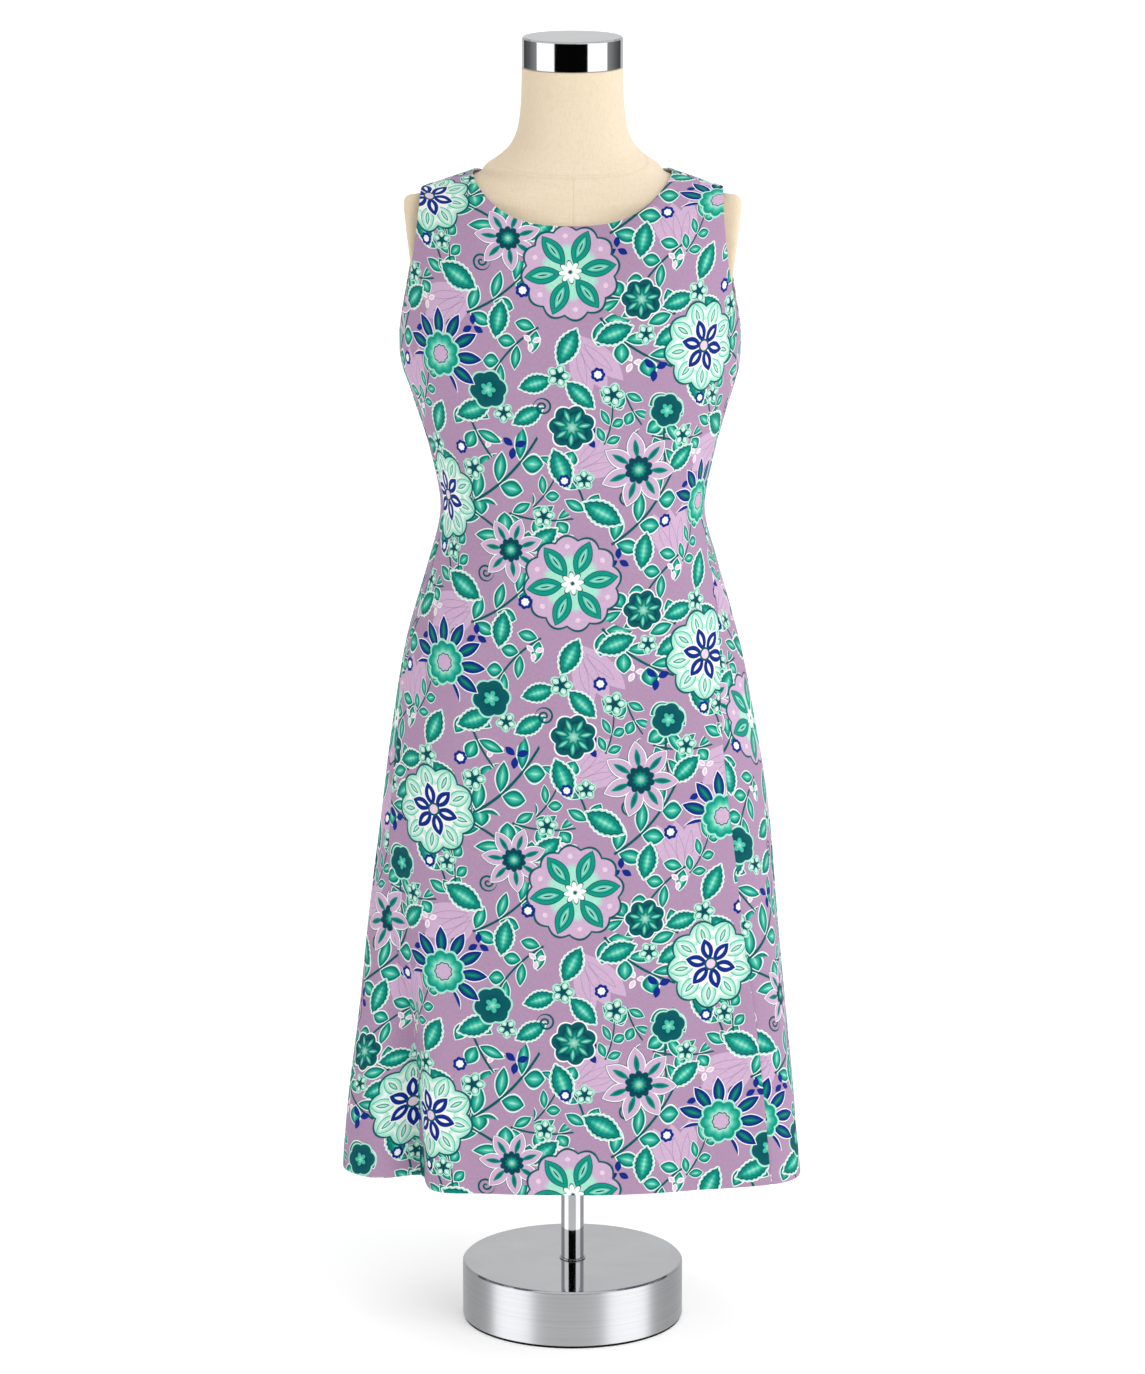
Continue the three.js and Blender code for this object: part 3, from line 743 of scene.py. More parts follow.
BACK_CREASES = [
    (-110, 612, -58, 598, 9.0, -1.2),
    (-104, 636, -60, 628, 7.0, 0.9),
    (112, 606, 56, 590, 9.0, -1.1),
    (108, 632, 62, 620, 7.0, 0.8),
    (-40, 556, 38, 548, 12.0, -1.0),
    (-84, 540, -50, 430, 14.0, 1.1),
    (80, 536, 46, 420, 14.0, 1.0),
    (-70, 820, -30, 780, 10.0, -0.8),
    (72, 816, 34, 776, 10.0, -0.7),
    (-24, 700, -30, 640, 12.0, 0.7),
    (28, 696, 36, 640, 12.0, -0.7),
    (-160, 420, -176, 260, 16.0, 0.9),
    (150, 400, 170, 240, 16.0, -0.9),
    (-90, 250, -96, 90, 18.0, 0.9),
    (12, 330, 20, 150, 18.0, -0.8),
    (96, 240, 104, 70, 17.0, 0.9),
]


def fold_reach(angle, height):
    """How far the folds push the cloth out."""
    reach = 0
    for low_angle, top_angle, spread, out, start, fade in FOLDS:
        share = 1 - smooth_step(start, fade, height)
        middle = low_angle + (top_angle - low_angle) * (1 - share)
        reach = reach + out * share * notch(angle % 360 - middle, spread)
    for middle, spread, out, at, span in WAIST_FOLDS:
        reach = reach + out * notch(angle - middle, spread) * notch(height - at, span)
    return reach


def pushed_out(points, angle, half, depth):
    """Moves points out by the folds, across the section they lie on."""
    turn = np.radians(angle)
    out = np.stack([np.cos(turn) / half, -np.sin(turn) / depth, 0 * turn], -1)
    out /= np.linalg.norm(out, axis=-1, keepdims=True)
    return points + out * fold_reach(angle, points[..., 2])[..., None]


def skirt_point(angle, height):
    """The dress below the bust."""
    _, half, lean, front, back = between(DRESS_SECTIONS, height)
    across, forward = round_shares(angle, DRESS_SQUARE)
    depth = np.where(forward >= 0, front, back)
    return pushed_out(np.stack([lean + half * across, -depth * forward, height], -1), angle, half, depth)


_, BUST_HALF, BUST_LEAN, BUST_FRONT, BUST_BACK = between(DRESS_SECTIONS, np.array(BUST))
PANELS = [
    {
        "name": "dress_front",
        "facing": -1,
        "columns": 132,
        "depth": float(BUST_FRONT),
        "neck": 1008.0,
        "square": (-0.03, 0.033),
        "curve": 2.9,
        "creases": FRONT_CREASES,
        "flat": (0.44, 0.90, 0.30),
    },
    {
        "name": "dress_back",
        "facing": 1,
        "columns": 174,
        "depth": float(BUST_BACK),
        "neck": 1034.0,
        "square": (0.06, 0.06),
        "curve": 2.4,
        "creases": BACK_CREASES,
        "flat": (0.77, 0.92, 0.475),
    },
]


def shoulder_height(across):
    return SHOULDER_TOP - SHOULDER_FALL * np.hypot(across, SHOULDER_ROUND)


def rise_square(panel, across):
    middle, strap = panel["square"]
    return middle + (strap - middle) * smooth_step(0, NECK_HALF, across)


def bodice_point(panel, side, across, roll):
    """The dress above the bust: it rises and rolls back to the shoulder line."""
    turns = np.linspace(90, 0, SECTION_STEPS)
    angle = np.interp(np.minimum(across / BUST_HALF, 1), round_shares(turns, DRESS_SQUARE)[0], turns)
    depth = panel["depth"] * round_shares(angle, DRESS_SQUARE)[1]
    level, rise = round_shares(roll, rise_square(panel, across))
    x = BUST_LEAN * np.cos(np.radians(roll)) + side * across
    y = panel["facing"] * depth * level
    z = BUST + (shoulder_height(across) - BUST) * rise
    whole = np.where(side > 0, angle, 180 - angle)
    whole = whole if panel["facing"] < 0 else 360 - whole
    return pushed_out(np.stack([x, y, z], -1), whole, BUST_HALF, panel["depth"])


def roll_at(panel, across, height):
    """The roll at which a panel reaches a height."""
    rolls = np.linspace(0, 90, ROLL_STEPS)
    heights = BUST + (shoulder_height(across) - BUST) * round_shares(rolls, rise_square(panel, across))[1]
    return float(np.interp(height, heights, rolls))


def bodice_grid(panel, signed, up):
    """Rows and columns of the bodice, blended from its four edges."""
    side = np.where(signed < 0, -1, 1)
    c = np.abs(signed)
    low_neck = roll_at(panel, 0.0, panel["neck"])
    bust_x = BUST_HALF * round_shares(90 * (1 - c), DRESS_SQUARE)[0]
    turn = math.pi / 2 * np.minimum(c / NECK_SHARE, 1)
    s = np.sin(turn)
    neck_roll = low_neck + (90 - low_neck) * (1 - np.cos(turn) * np.sqrt(1 + s * s))
    shoulder_x = NECK_HALF + (TIP_HALF - NECK_HALF) * (c - NECK_SHARE) / (1 - NECK_SHARE)
    top_x = np.where(c < NECK_SHARE, NECK_HALF * s, shoulder_x)
    top_roll = np.where(c < NECK_SHARE, neck_roll, 90)
    side_roll = 90 * up
    under = roll_at(panel, BUST_HALF, UNDERARM)
    along = np.maximum(side_roll - under, 0) / (90 - under)
    side_x = TIP_HALF + (BUST_HALF - TIP_HALF) * (1 - along) ** panel["curve"]
    x = (1 - up) * bust_x + up * top_x + c * side_x - c * ((1 - up) * BUST_HALF + up * TIP_HALF)
    roll = up * top_roll + (1 - c) * low_neck * up + c * side_roll - up * ((1 - c) * low_neck + c * 90)
    x = np.maximum(x, 0)
    points = bodice_point(panel, side, x, roll)
    # Where each point lies on the flat cloth, by walking to it along the surface
    walk = np.linspace(0, 1, WALK_STEPS + 1)[:, None, None]
    across = along_rows(bodice_point(panel, side, x * walk, roll + 0 * walk), axis=0)[-1]
    climb = along_rows(bodice_point(panel, side, x + 0 * walk, roll * walk), axis=0)[-1]
    flat = np.stack([-panel["facing"] * side * across, BUST - HEM + climb], -1)
    return points, flat


def crowded(count, fine=(0.1, 0.22, 0.4, 0.65)):
    """Shares from 0 to 1 in even steps, with finer ones beside both ends."""
    ends = np.array(fine) / count
    return np.unique(np.concatenate([np.arange(count + 1) / count, ends, 1 - ends]).round(9))


def panel_grid(panel):
    """A panel's points, from right to left and from hem to top, and where each lies on the flat cloth."""
    share = crowded(panel["columns"])
    level = np.unique(np.concatenate([np.linspace(0, 1, SKIRT_ROWS), HEM_ROWS]))
    level = HEM + (BUST - HEM) * level
    height = level[:, None] + 0 * share
    turns = between(SEAM_TURNS, level)
    start = turns[1] + (0 if panel["facing"] < 0 else 360)
    end = 180 - turns[2]
    angle = start[:, None] + (end - start)[:, None] * share
    skirt = skirt_point(angle, height)
    length = along_rows(skirt)
    middle = 90 if panel["facing"] < 0 else 270
    hand = -panel["facing"]
    centre = np.array([np.interp(hand * middle, hand * a, b) for a, b in zip(angle, length)])
    flat = np.stack([panel["facing"] * (length - centre[:, None]), height - HEM], -1)
    under = roll_at(panel, BUST_HALF, UNDERARM) / 90
    above = np.unique(np.concatenate([np.linspace(0, 1, BODICE_ROWS) ** 1.3, TOP_ROWS]))
    up = np.concatenate([np.linspace(0, under, UNDERARM_ROWS + 1)[1:-1], under + (1 - under) * above])
    bodice, bodice_flat = bodice_grid(panel, *np.meshgrid(1 - 2 * share, up))
    grid = np.concatenate([skirt, bodice])
    panel["seam_rows"] = len(level) + UNDERARM_ROWS
    return grid, np.concatenate([flat, bodice_flat]), share


def crease_height(creases, flat):
    """How far the listed creases lift or lower the cloth: each fades at its ends and to its sides."""
    lift = np.zeros(flat.shape[:2])
    for u0, v0, u1, v1, wide, high in creases:
        run = np.array([u1 - u0, v1 - v0])
        length = np.linalg.norm(run)
        run = run / length
        offset = flat - np.array([u0, v0])
        along = offset @ run / length
        bow = CREASE_BOW * length * np.sin(math.pi * np.clip(along, 0, 1))
        beside = offset @ np.array([-run[1], run[0]]) - bow
        fade = smooth_step(-0.15, 0.3, along) * smooth_step(1.2, 0.6, along)
        lift += high * fade * notch(beside, wide)
    return lift


def cloth_relief(panel, grid, flat, share):
    """What the sewing and the hang of the cloth add to its smooth shape."""
    length = along_rows(grid)
    from_side = np.minimum(length, length[:, -1:] - length)
    climb = along_rows(grid, axis=0)
    from_top = climb[-1] - climb
    rows = np.arange(len(grid))[:, None]
    sewn = rows < panel["seam_rows"]
    shoulder = (np.abs(1 - 2 * share) >= NECK_SHARE)[None, :]
    lift = crease_height(panel["creases"], flat)
    lift -= SEAM_DIP * notch(from_side, SEAM_DIP_WIDE) * sewn
    lift += CUSHION * notch(from_side - CUSHION_OFF, CUSHION_WIDE) * sewn
    lift -= SEAM_DIP * notch(from_top, SEAM_DIP_WIDE) * shoulder
    lift += TURNING_STEP * smooth_step(*ARMHOLE_TURNING, from_side) * ~sewn
    lift += TURNING_STEP * smooth_step(*NECK_TURNING, from_top) * ~shoulder
    lift += HEM_STEP * smooth_step(*HEM_TURNING, flat[..., 1])
    # Slight unevenness all over, as cloth on a hanger has
    u, v = flat[..., 0], flat[..., 1]
    lift += 0.45 * np.sin(u / 23 + 1.3 * np.sin(v / 61)) * np.sin(v / 47 + 0.8 * np.sin(u / 39))
    lift += 0.3 * np.sin(u / 11 + 2.1 * np.sin(v / 90)) * np.sin(v / 83 + 1.7)
    return lift


def panel_mesh(panel):
    """Points, faces, flat places and inside shares of a cloth wall: two skins with a rounded edge."""
    grid, flat, share = panel_grid(panel)
    facing = panel["facing"]
    outward = grid_normals(grid, facing)
    grid = grid + outward * cloth_relief(panel, grid, flat, share)[..., None]
    outward = grid_normals(grid, facing)
    rows, columns = grid.shape[:2]
    # At the side and shoulder seams each panel steps back by half the gap
    along = np.gradient(grid, axis=1)
    along /= np.linalg.norm(along, axis=-1, keepdims=True)
    sewn = slice(0, panel["seam_rows"])
    grid[sewn, 0] += along[sewn, 0] * SEAM_GAP / 2
    grid[sewn, -1] -= along[sewn, -1] * SEAM_GAP / 2
    inner = grid - outward * WALL
    ring = [(0, c) for c in range(columns)] + [(r, columns - 1) for r in range(1, rows)]
    ring += [(rows - 1, c) for c in range(columns - 2, -1, -1)] + [(r, 0) for r in range(rows - 2, 0, -1)]
    if facing < 0:
        ring = ring[::-1]
    r, c = np.array(ring).T
    up = np.gradient(grid, axis=0)
    up /= np.linalg.norm(up, axis=-1, keepdims=True)
    ends = (r == rows - 1) * 1 - (r == 0)
    sides = (c == columns - 1) * 1 - (c == 0)
    away = ends[:, None] * up[r, c] + sides[:, None] * along[r, c]
    away /= np.linalg.norm(away, axis=-1, keepdims=True)
    at_side = ((c == 0) | (c == columns - 1)) & (r < panel["seam_rows"])
    at_shoulder = (r == rows - 1) & (np.abs(1 - 2 * share[c]) >= NECK_SHARE - 1e-6)
    bulge = np.where(at_side | at_shoulder, 0.0, EDGE_BULGE)[:, None]
    count = rows * columns
    points = [grid.reshape(-1, 3), inner.reshape(-1, 3)]
    places = [flat.reshape(-1, 2), flat.reshape(-1, 2)]
    inside = [np.zeros(count), np.ones(count)]
    for turn in (math.pi / 4, math.pi / 2, 3 * math.pi / 4):
        middle = (grid[r, c] + inner[r, c]) / 2
        points.append(middle + outward[r, c] * WALL / 2 * math.cos(turn) + away * bulge * math.sin(turn))
        places.append(flat[r, c])
        inside.append(np.full(len(ring), 0.5 - 0.5 * math.cos(turn)))
    quads = grid_faces(rows, columns, around=False)[:, [0, 3, 2, 1]]
    if facing > 0:
        quads = quads[:, ::-1]
    edge = r * columns + c
    loops = [edge] + [2 * count + k * len(ring) + np.arange(len(ring)) for k in range(3)] + [edge + count]
    strips = []
    for one, two in zip(loops, loops[1:]):
        strips.append(np.stack([np.roll(one, -1), one, two, np.roll(two, -1)], -1))
    faces = np.concatenate([quads, quads[:, ::-1] + count, *strips])
    return np.concatenate(points), faces.tolist(), np.concatenate(places), np.concatenate(inside)


# The print repeats in both directions, each column of motifs half a repeat below its neighbour.
REPEAT_WIDE = 250.0
REPEAT_HIGH = 275.0
DROP = REPEAT_HIGH / 2 / REPEAT_WIDE
LILAC = linear("#AD8DAC")
LILAC_DEEP = linear("#A384A4")
LILAC_PALE = linear("#CBACCA")
WRONG_SIDE = linear("#D9CBDD")
TEAL = linear("#00595F")
TEAL_DEEP = linear("#004453")
GREEN = linear("#0C9480")
GREEN_LIGHT = linear("#3FBAA0")
MINT = linear("#A6E1CB")
WHITE = linear("#F3F5F1")
NAVY = linear("#0A2A86")
PINK = linear("#E6CBDD")
SOFT = True
# How crisply one band of a motif meets the next, and where its edge ends.
BAND_EDGE = 0.012
MOTIF_EDGE = (0.985, 0.999)
# A branch runs along x from its start, bent, with leaves in pairs that slant out from it.
BRANCH = {"start": 36, "bend": 0.004, "long": 78, "stem": 1.3, "pitch": 26, "leaf": 12.5, "wide": 7.4}
# A single leaf, half its length and width and the teeth of its edge.
LEAF = {"long": 23, "wide": 13, "tooth": 2.6, "bite": 0.035}
TULIP = {"foot": 32, "wide": 13, "long": 34}
CURL = {"climb": 0.72, "gap": 2.26, "thick": 0.95, "reach": 8.2}
# Sateen has about thirty threads to the centimetre, too fine to show, so the ones drawn are coarser.
SATEEN_THREAD = 1.1
SATEEN_PEBBLE = 1.8
SATEEN_RELIEF = 0.22
DYE_SCALE = 420.0
# Places of each motif in the repeat: across, up, turned by, sized by.
ROSETTES = [(0, 0, 8, 1.0)]
DAHLIAS = [(122, 206, -14, 1.0)]
LOTUSES = [(133, 62, 62, 1.0)]
LILIES = [(58, 100, 200, 1.0), (196, 166, 20, 0.85)]
CARNATIONS = [(0, 139, 20, 0.9), (62, 250, -30, 0.8)]
BUDS = [(178, 34, 70, 1.0), (84, 152, 190, 0.9)]
BRANCHES = [
    (65, 52, 30, 1.0),
    (-62, 48, 128, 1.0),
    (77, 138, 250, 0.9),
    (193, 224, 28, 1.05),
    (64, 252, 150, 0.9),
    (163, -10, -78, 0.9),
    (47, -67, -52, 0.95),
    (190, 111, 20, 0.9),
    (-104, 15, 80, 0.65),
    (-20, 79, 40, 0.65),
    (52, -127, -76, 0.65),
    (116, 30, 48, 0.6),
]
TULIPS = [(93, 34, 100, 0.85), (17, 110, 30, 0.8), (-109, -32, 205, 0.9), (17, -78, -60, 0.85)]
# Filler motifs repeat twice across in each repeat, the second time a quarter lower.
FILLER_BRANCHES = [(7, 90, 100, 0.8), (95, 121, -20, 0.75), (73, 6, 210, 0.8), (37, 143, 64, 0.6)]
LEAVES = [
    (26, 62, 150, 0.95),
    (99, 107, 40, 0.8),
    (115, 171, 290, 0.9),
    (38, 221, 20, 0.85),
    (63, 27, 80, 0.8),
    (-2, -65, 64, 0.85),
    (-30, -97, 196, 0.75),
    (8, -107, -46, 0.8),
    (-38, -126, 30, 0.75),
]
BLOSSOMS = [
    (36, 168, 0, 0.95),
    (100, 128, 12, 0.85),
    (66, 220, 50, 0.8),
    (10, 92, 20, 0.8),
    (-10, -90, 0, 0.9),
]
DOTS = [(24, 186, 0, 0.9), (84, 52, 0, 0.9), (118, 160, 20, 0.8)]
SPRIGS = [(74, 190, 20, 1.0), (112, 84, 200, 0.9), (40, 20, -30, 0.9), (14, 130, 60, 0.9)]
WHITE_SPRIGS = [(54, 196, 120, 1.0), (92, 8, 20, 0.9), (118, 108, 260, 0.9)]
CURLS = [(48, 76, 10, 1.0), (100, 226, 190, 1.0), (20, 20, 100, 0.9)]

WORDS = {
    "Add": "ADD", "Sub": "SUBTRACT", "Mult": "MULTIPLY", "Div": "DIVIDE", "Lt": "LESS_THAN",
    "Gt": "GREATER_THAN", "min": "MINIMUM", "abs": "ABSOLUTE", "sin": "SINE", "cos": "COSINE",
    "atan2": "ARCTAN2", "wrap": "WRAP", "pingpong": "PINGPONG",
}

# Printed sateen: cotton woven with long floats, which give a smooth, matt face with a slight sheen.
# The dye sits in the threads, so flat colours carry a fine unevenness, and the wrong side is paler.
sateen, print_tree = new_material("printed_sateen")


def formula(text, **values):
    """Lays a formula out as Math nodes of the sateen and gives the output of the last."""

    def lay(part):
        if isinstance(part, ast.Constant):
            return float(part.value)
        if isinstance(part, ast.Name):
            return values[part.id]
        if isinstance(part, ast.UnaryOp):
            word, terms = "MULTIPLY", [lay(part.operand), -1.0]
        elif isinstance(part, ast.BinOp):
            word, terms = WORDS[type(part.op).__name__], [lay(part.left), lay(part.right)]
        elif isinstance(part, ast.Compare):
            word, terms = WORDS[type(part.ops[0]).__name__], [lay(part.left), lay(part.comparators[0])]
        else:
            word, terms = WORDS[part.func.id], [lay(term) for term in part.args]
        return add_node(print_tree, "ShaderNodeMath", dict(enumerate(terms)), operation=word)[0]

    return lay(ast.parse(text).body[0].value)


def nearest(places, times=1):
    """Where the cloth lies from the nearest of a motif's places, in that place's own turned and sized axes.

    It gives the two coordinates, the distance and the angle. A filler motif comes round a number of
    times across each repeat.
    """
    wide = REPEAT_WIDE / times
    best = reach = None
    for across, up, turn, size in places:
        low = (across - wide / 2, up - DROP * across - REPEAT_HIGH / 2, 0.0)
        high = (low[0] + wide, low[1] + REPEAT_HIGH, 2.0)
        near = {0: laid_flat, 1: high, 2: low}
        near = add_node(print_tree, "ShaderNodeVectorMath", near, operation="WRAP")[0]
        c = math.cos(math.radians(turn)) / size
        s = math.sin(math.radians(turn)) / size
        axes = {}
        for number, row in enumerate([(c + DROP * s, s), (DROP * c - s, c)]):
            axis = {0: near, 1: (*row, -(row[0] * across + row[1] * (up - DROP * across)))}
            axis = add_node(print_tree, "ShaderNodeVectorMath", axis, operation="DOT_PRODUCT")
            axes[number] = axis["Value"]
        local = add_node(print_tree, "ShaderNodeCombineXYZ", axes)[0]
        far = add_node(print_tree, "ShaderNodeVectorMath", {0: local}, operation="LENGTH")["Value"]
        if best is None:
            best, reach = local, far
            continue
        closer = formula("far < reach", far=far, reach=reach)
        best = add_node(print_tree, "ShaderNodeMix", {0: closer, 4: best, 5: local}, data_type="VECTOR")[1]
        reach = formula("min(far, reach)", far=far, reach=reach)
    x, y, _ = add_node(print_tree, "ShaderNodeSeparateXYZ", {0: best})
    far = add_node(print_tree, "ShaderNodeVectorMath", {0: best}, operation="LENGTH")["Value"]
    return x, y, far, formula("atan2(y, x)", x=x, y=y)


def petals(far, angle, count, middle, long, wide, start=0.0):
    """Pointed petals round a flower: 0 along each petal's vein, 1 at its edge."""
    turned_to = "wrap(angle + start, half, -half)" if start else "wrap(angle, half, -half)"
    turn = formula(turned_to, angle=angle, start=start, half=math.pi / count)
    out = formula("far * cos(turn)", far=far, turn=turn)
    side = formula("abs(far * sin(turn))", far=far, turn=turn)
    along = formula("(out - middle) / long", out=out, middle=middle, long=long)
    return formula("side / wide + along * along", side=side, wide=wide, along=along)


def scallops(far, angle, count, radius, depth):
    """Rounded lobes round a flower: 0 at its middle, 1 at the outline."""
    lobes = "far / (low + depth * abs(cos(angle * half)))"
    return formula(lobes, far=far, low=radius - depth, depth=depth, angle=angle, half=count / 2)


def disc(far, angle, radius):
    """A plain round: 0 at its middle, 1 at the outline."""
    return formula("far / radius", far=far, radius=radius)


def paint(ground, value, bands, keep=None):
    """Prints bands of colour over the ground where value is below 1, from the middle of a motif outwards.

    Each band is where it starts and its colour. A band marked SOFT shades in from the one before it.
    """
    ramp = add_node(print_tree, "ShaderNodeValToRGB", {0: value})
    stops = ramp[0].node.color_ramp.elements
    shown = []
    for start, colour, *soft in bands:
        if shown and not soft:
            shown.append((start - BAND_EDGE, shown[-1][1]))
        shown.append((start, (*colour[:3], 1.0)))
    last = shown[-1][1]
    shown += [(MOTIF_EDGE[0], last), (MOTIF_EDGE[1], (*last[:3], 0.0))]
    for number, (start, colour) in enumerate(shown):
        stop = stops[number] if number < 2 else stops.new(start)
        stop.position = start
        stop.color = colour
    cover = ramp["Alpha"] if keep is None else formula("a * b", a=ramp["Alpha"], b=keep)
    over = {0: cover, 6: ground, 7: ramp["Color"]}
    return add_node(print_tree, "ShaderNodeMix", over, data_type="RGBA")[2]


def print_branches(colour, x, y, far, angle):
    """A bent stem with pairs of leaves."""
    x = formula("x + start", x=x, **BRANCH)
    side = formula("abs(y - bend * x * x)", x=x, y=y, **BRANCH)
    inside = formula("(x > 0) * (x < long)", x=x, **BRANCH)
    colour = paint(colour, formula("side / stem", side=side, **BRANCH), [(0, TEAL)], inside)
    step = formula("wrap(x, pitch, 0)", x=x, **BRANCH)
    out = formula("(step - 3) * 0.68 + (side - 1) * 0.73", step=step, side=side)
    over = formula("abs((side - 1) * 0.68 - (step - 3) * 0.73)", step=step, side=side)
    along = formula("(out - leaf) / leaf", out=out, **BRANCH)
    leaf = formula("over / wide + along * along", over=over, along=along, **BRANCH)
    return paint(colour, leaf, [
        (0, MINT), (0.2, GREEN_LIGHT, SOFT), (0.5, GREEN, SOFT), (0.74, TEAL, SOFT), (0.80, MINT),
        (0.90, WHITE),
    ], inside)


# The cloth's own place, in millimetres and sheared so that the half drop falls on a plain grid.
cloth_place = add_node(print_tree, "ShaderNodeUVMap", uv_map="cloth")[0]
u, v, _ = add_node(print_tree, "ShaderNodeSeparateXYZ", {0: cloth_place})
across = formula("u * 1000", u=u)
up = formula("v * 1000 - u * skew", v=v, u=u, skew=1000 * DROP)
laid_flat = add_node(print_tree, "ShaderNodeCombineXYZ", {0: across, 1: up, 2: 1.0})[0]

# The motifs are laid down from the back of the print to the front, pale tulips under everything.
colour = add_node(print_tree, "ShaderNodeRGB")[0]
colour.default_value = LILAC
x, y, far, angle = nearest(TULIPS)
tulip = None
for lean in (-0.3, 0.0, 0.3):
    petal = "abs(y - (x + foot) * lean) / wide + (x / long) * (x / long)"
    petal = formula(petal, x=x, y=y, lean=lean, **TULIP)
    tulip = petal if tulip is None else formula("min(a, b)", a=tulip, b=petal)
colour = paint(colour, tulip, [(0, LILAC_PALE), (0.30, LILAC_DEEP), (0.34, LILAC_PALE)])

colour = print_branches(colour, *nearest(FILLER_BRANCHES, times=2))
x, y, far, angle = nearest(WHITE_SPRIGS, times=2)
colour = paint(colour, petals(far, angle, 3, 5.4, 4.6, 2.8), [(0, PINK), (0.6, WHITE)])
colour = print_branches(colour, *nearest(BRANCHES))

# Single leaves have toothed edges.
x, y, far, angle = nearest(LEAVES, times=2)
along = formula("x / long", x=x, **LEAF)
teeth = formula("pingpong(x, tooth) * bite", x=x, **LEAF)
leaf = formula("abs(y) / wide + along * along + teeth", y=y, along=along, teeth=teeth, **LEAF)
colour = paint(colour, leaf, [
    (0, MINT), (0.22, GREEN_LIGHT, SOFT), (0.40, GREEN, SOFT), (0.50, TEAL), (0.54, GREEN),
    (0.72, TEAL, SOFT), (0.80, MINT), (0.91, WHITE),
])

x, y, far, angle = nearest(CURLS, times=2)
coil = formula("abs(wrap(far - angle * climb, gap, -gap)) / thick", far=far, angle=angle, **CURL)
colour = paint(colour, coil, [(0, TEAL)], formula("far < reach", far=far, **CURL))

# Flowers: places, times across each repeat, and the shapes laid one over another. Each shape is its
# kind, its sizes and its bands of colour, and for a fan of petals the angles that it keeps to.
FLOWERS = [
    (SPRIGS, 2, [(petals, (3, 6.5, 5.5, 3.2), [(0, NAVY)])]),
    (BLOSSOMS, 2, [
        (scallops, (5, 12.0, 4.0), [(0, TEAL_DEEP), (0.6, TEAL, SOFT), (0.84, MINT)]),
        (petals, (5, 6.6, 3.6, 3.0), [(0, WHITE), (0.6, MINT, SOFT)]),
    ]),
    (BUDS, 1, [
        (scallops, (6, 18.5, 2.5), [(0, TEAL_DEEP), (0.72, TEAL, SOFT), (0.9, MINT)]),
        (scallops, (5, 7.0, 3.4), [(0, MINT), (0.6, GREEN_LIGHT, SOFT)]),
    ]),
    (LILIES, 1, [
        (petals, (7, 19.0, 16.5, 9.0), [
            (0, TEAL), (0.26, GREEN, SOFT), (0.30, LILAC_PALE), (0.82, WHITE), (0.93, TEAL),
        ]),
        (scallops, (10, 13.0, 2.4), [(0, MINT), (0.35, GREEN, SOFT), (0.6, TEAL_DEEP, SOFT), (0.93, TEAL)]),
    ]),
    (CARNATIONS, 1, [
        (scallops, (7, 24.0, 4.0), [
            (0, MINT), (0.3, GREEN, SOFT), (0.62, TEAL_DEEP, SOFT), (0.80, TEAL, SOFT), (0.93, WHITE),
        ]),
        (petals, (7, 12.0, 8.0, 3.2, 0.2), [(0, MINT), (0.5, GREEN, SOFT), (0.8, TEAL_DEEP)]),
    ]),
    (LOTUSES, 1, [
        (petals, (11, 27.0, 14.5, 6.2), [
            (0, GREEN), (0.3, TEAL, SOFT), (0.46, NAVY), (0.86, WHITE),
        ], "abs(angle) < 2.2"),
        (scallops, (9, 21.0, 3.0), [
            (0, LILAC_PALE), (0.36, TEAL), (0.41, MINT), (0.60, GREEN_LIGHT, SOFT), (0.78, GREEN, SOFT),
            (0.90, MINT),
        ]),
    ]),
    (DAHLIAS, 1, [
        (scallops, (9, 41.0, 6.0), [
            (0, WHITE), (0.62, MINT), (0.78, WHITE, SOFT), (0.90, MINT, SOFT), (0.95, TEAL),
        ]),
        (petals, (9, 27.0, 12.0, 7.0), [
            (0, MINT), (0.16, GREEN), (0.30, WHITE), (0.7, MINT, SOFT), (0.86, GREEN_LIGHT),
        ]),
        (petals, (6, 13.5, 11.5, 7.0), [(0, WHITE), (0.22, NAVY), (0.80, WHITE)]),
        (disc, (6,), [(0, PINK), (0.7, TEAL)]),
    ]),
    (ROSETTES, 1, [
        (scallops, (12, 44.0, 4.5), [(0, MINT), (0.5, MINT), (0.62, LILAC_PALE, SOFT), (0.95, TEAL)]),
        (petals, (6, 33.0, 2.4, 2.4, math.pi / 6), [(0, PINK)]),
        (petals, (6, 24.0, 16.5, 8.0), [
            (0, TEAL), (0.10, MINT), (0.34, GREEN_LIGHT, SOFT), (0.40, TEAL), (0.48, GREEN), (0.80, GREEN),
            (0.90, TEAL),
        ]),
        (scallops, (8, 11.0, 5.0), [(0, TEAL), (0.2, WHITE), (0.9, TEAL)]),
    ]),
    (DOTS, 2, [(scallops, (7, 7.2, 1.2), [(0, WHITE), (0.55, NAVY)])]),
]
for places, times, shapes in FLOWERS:
    x, y, far, angle = nearest(places, times)
    for shape, sizes, bands, *fan in shapes:
        keep = formula(fan[0], angle=angle) if fan else None
        colour = paint(colour, shape(far, angle, *sizes), bands, keep)

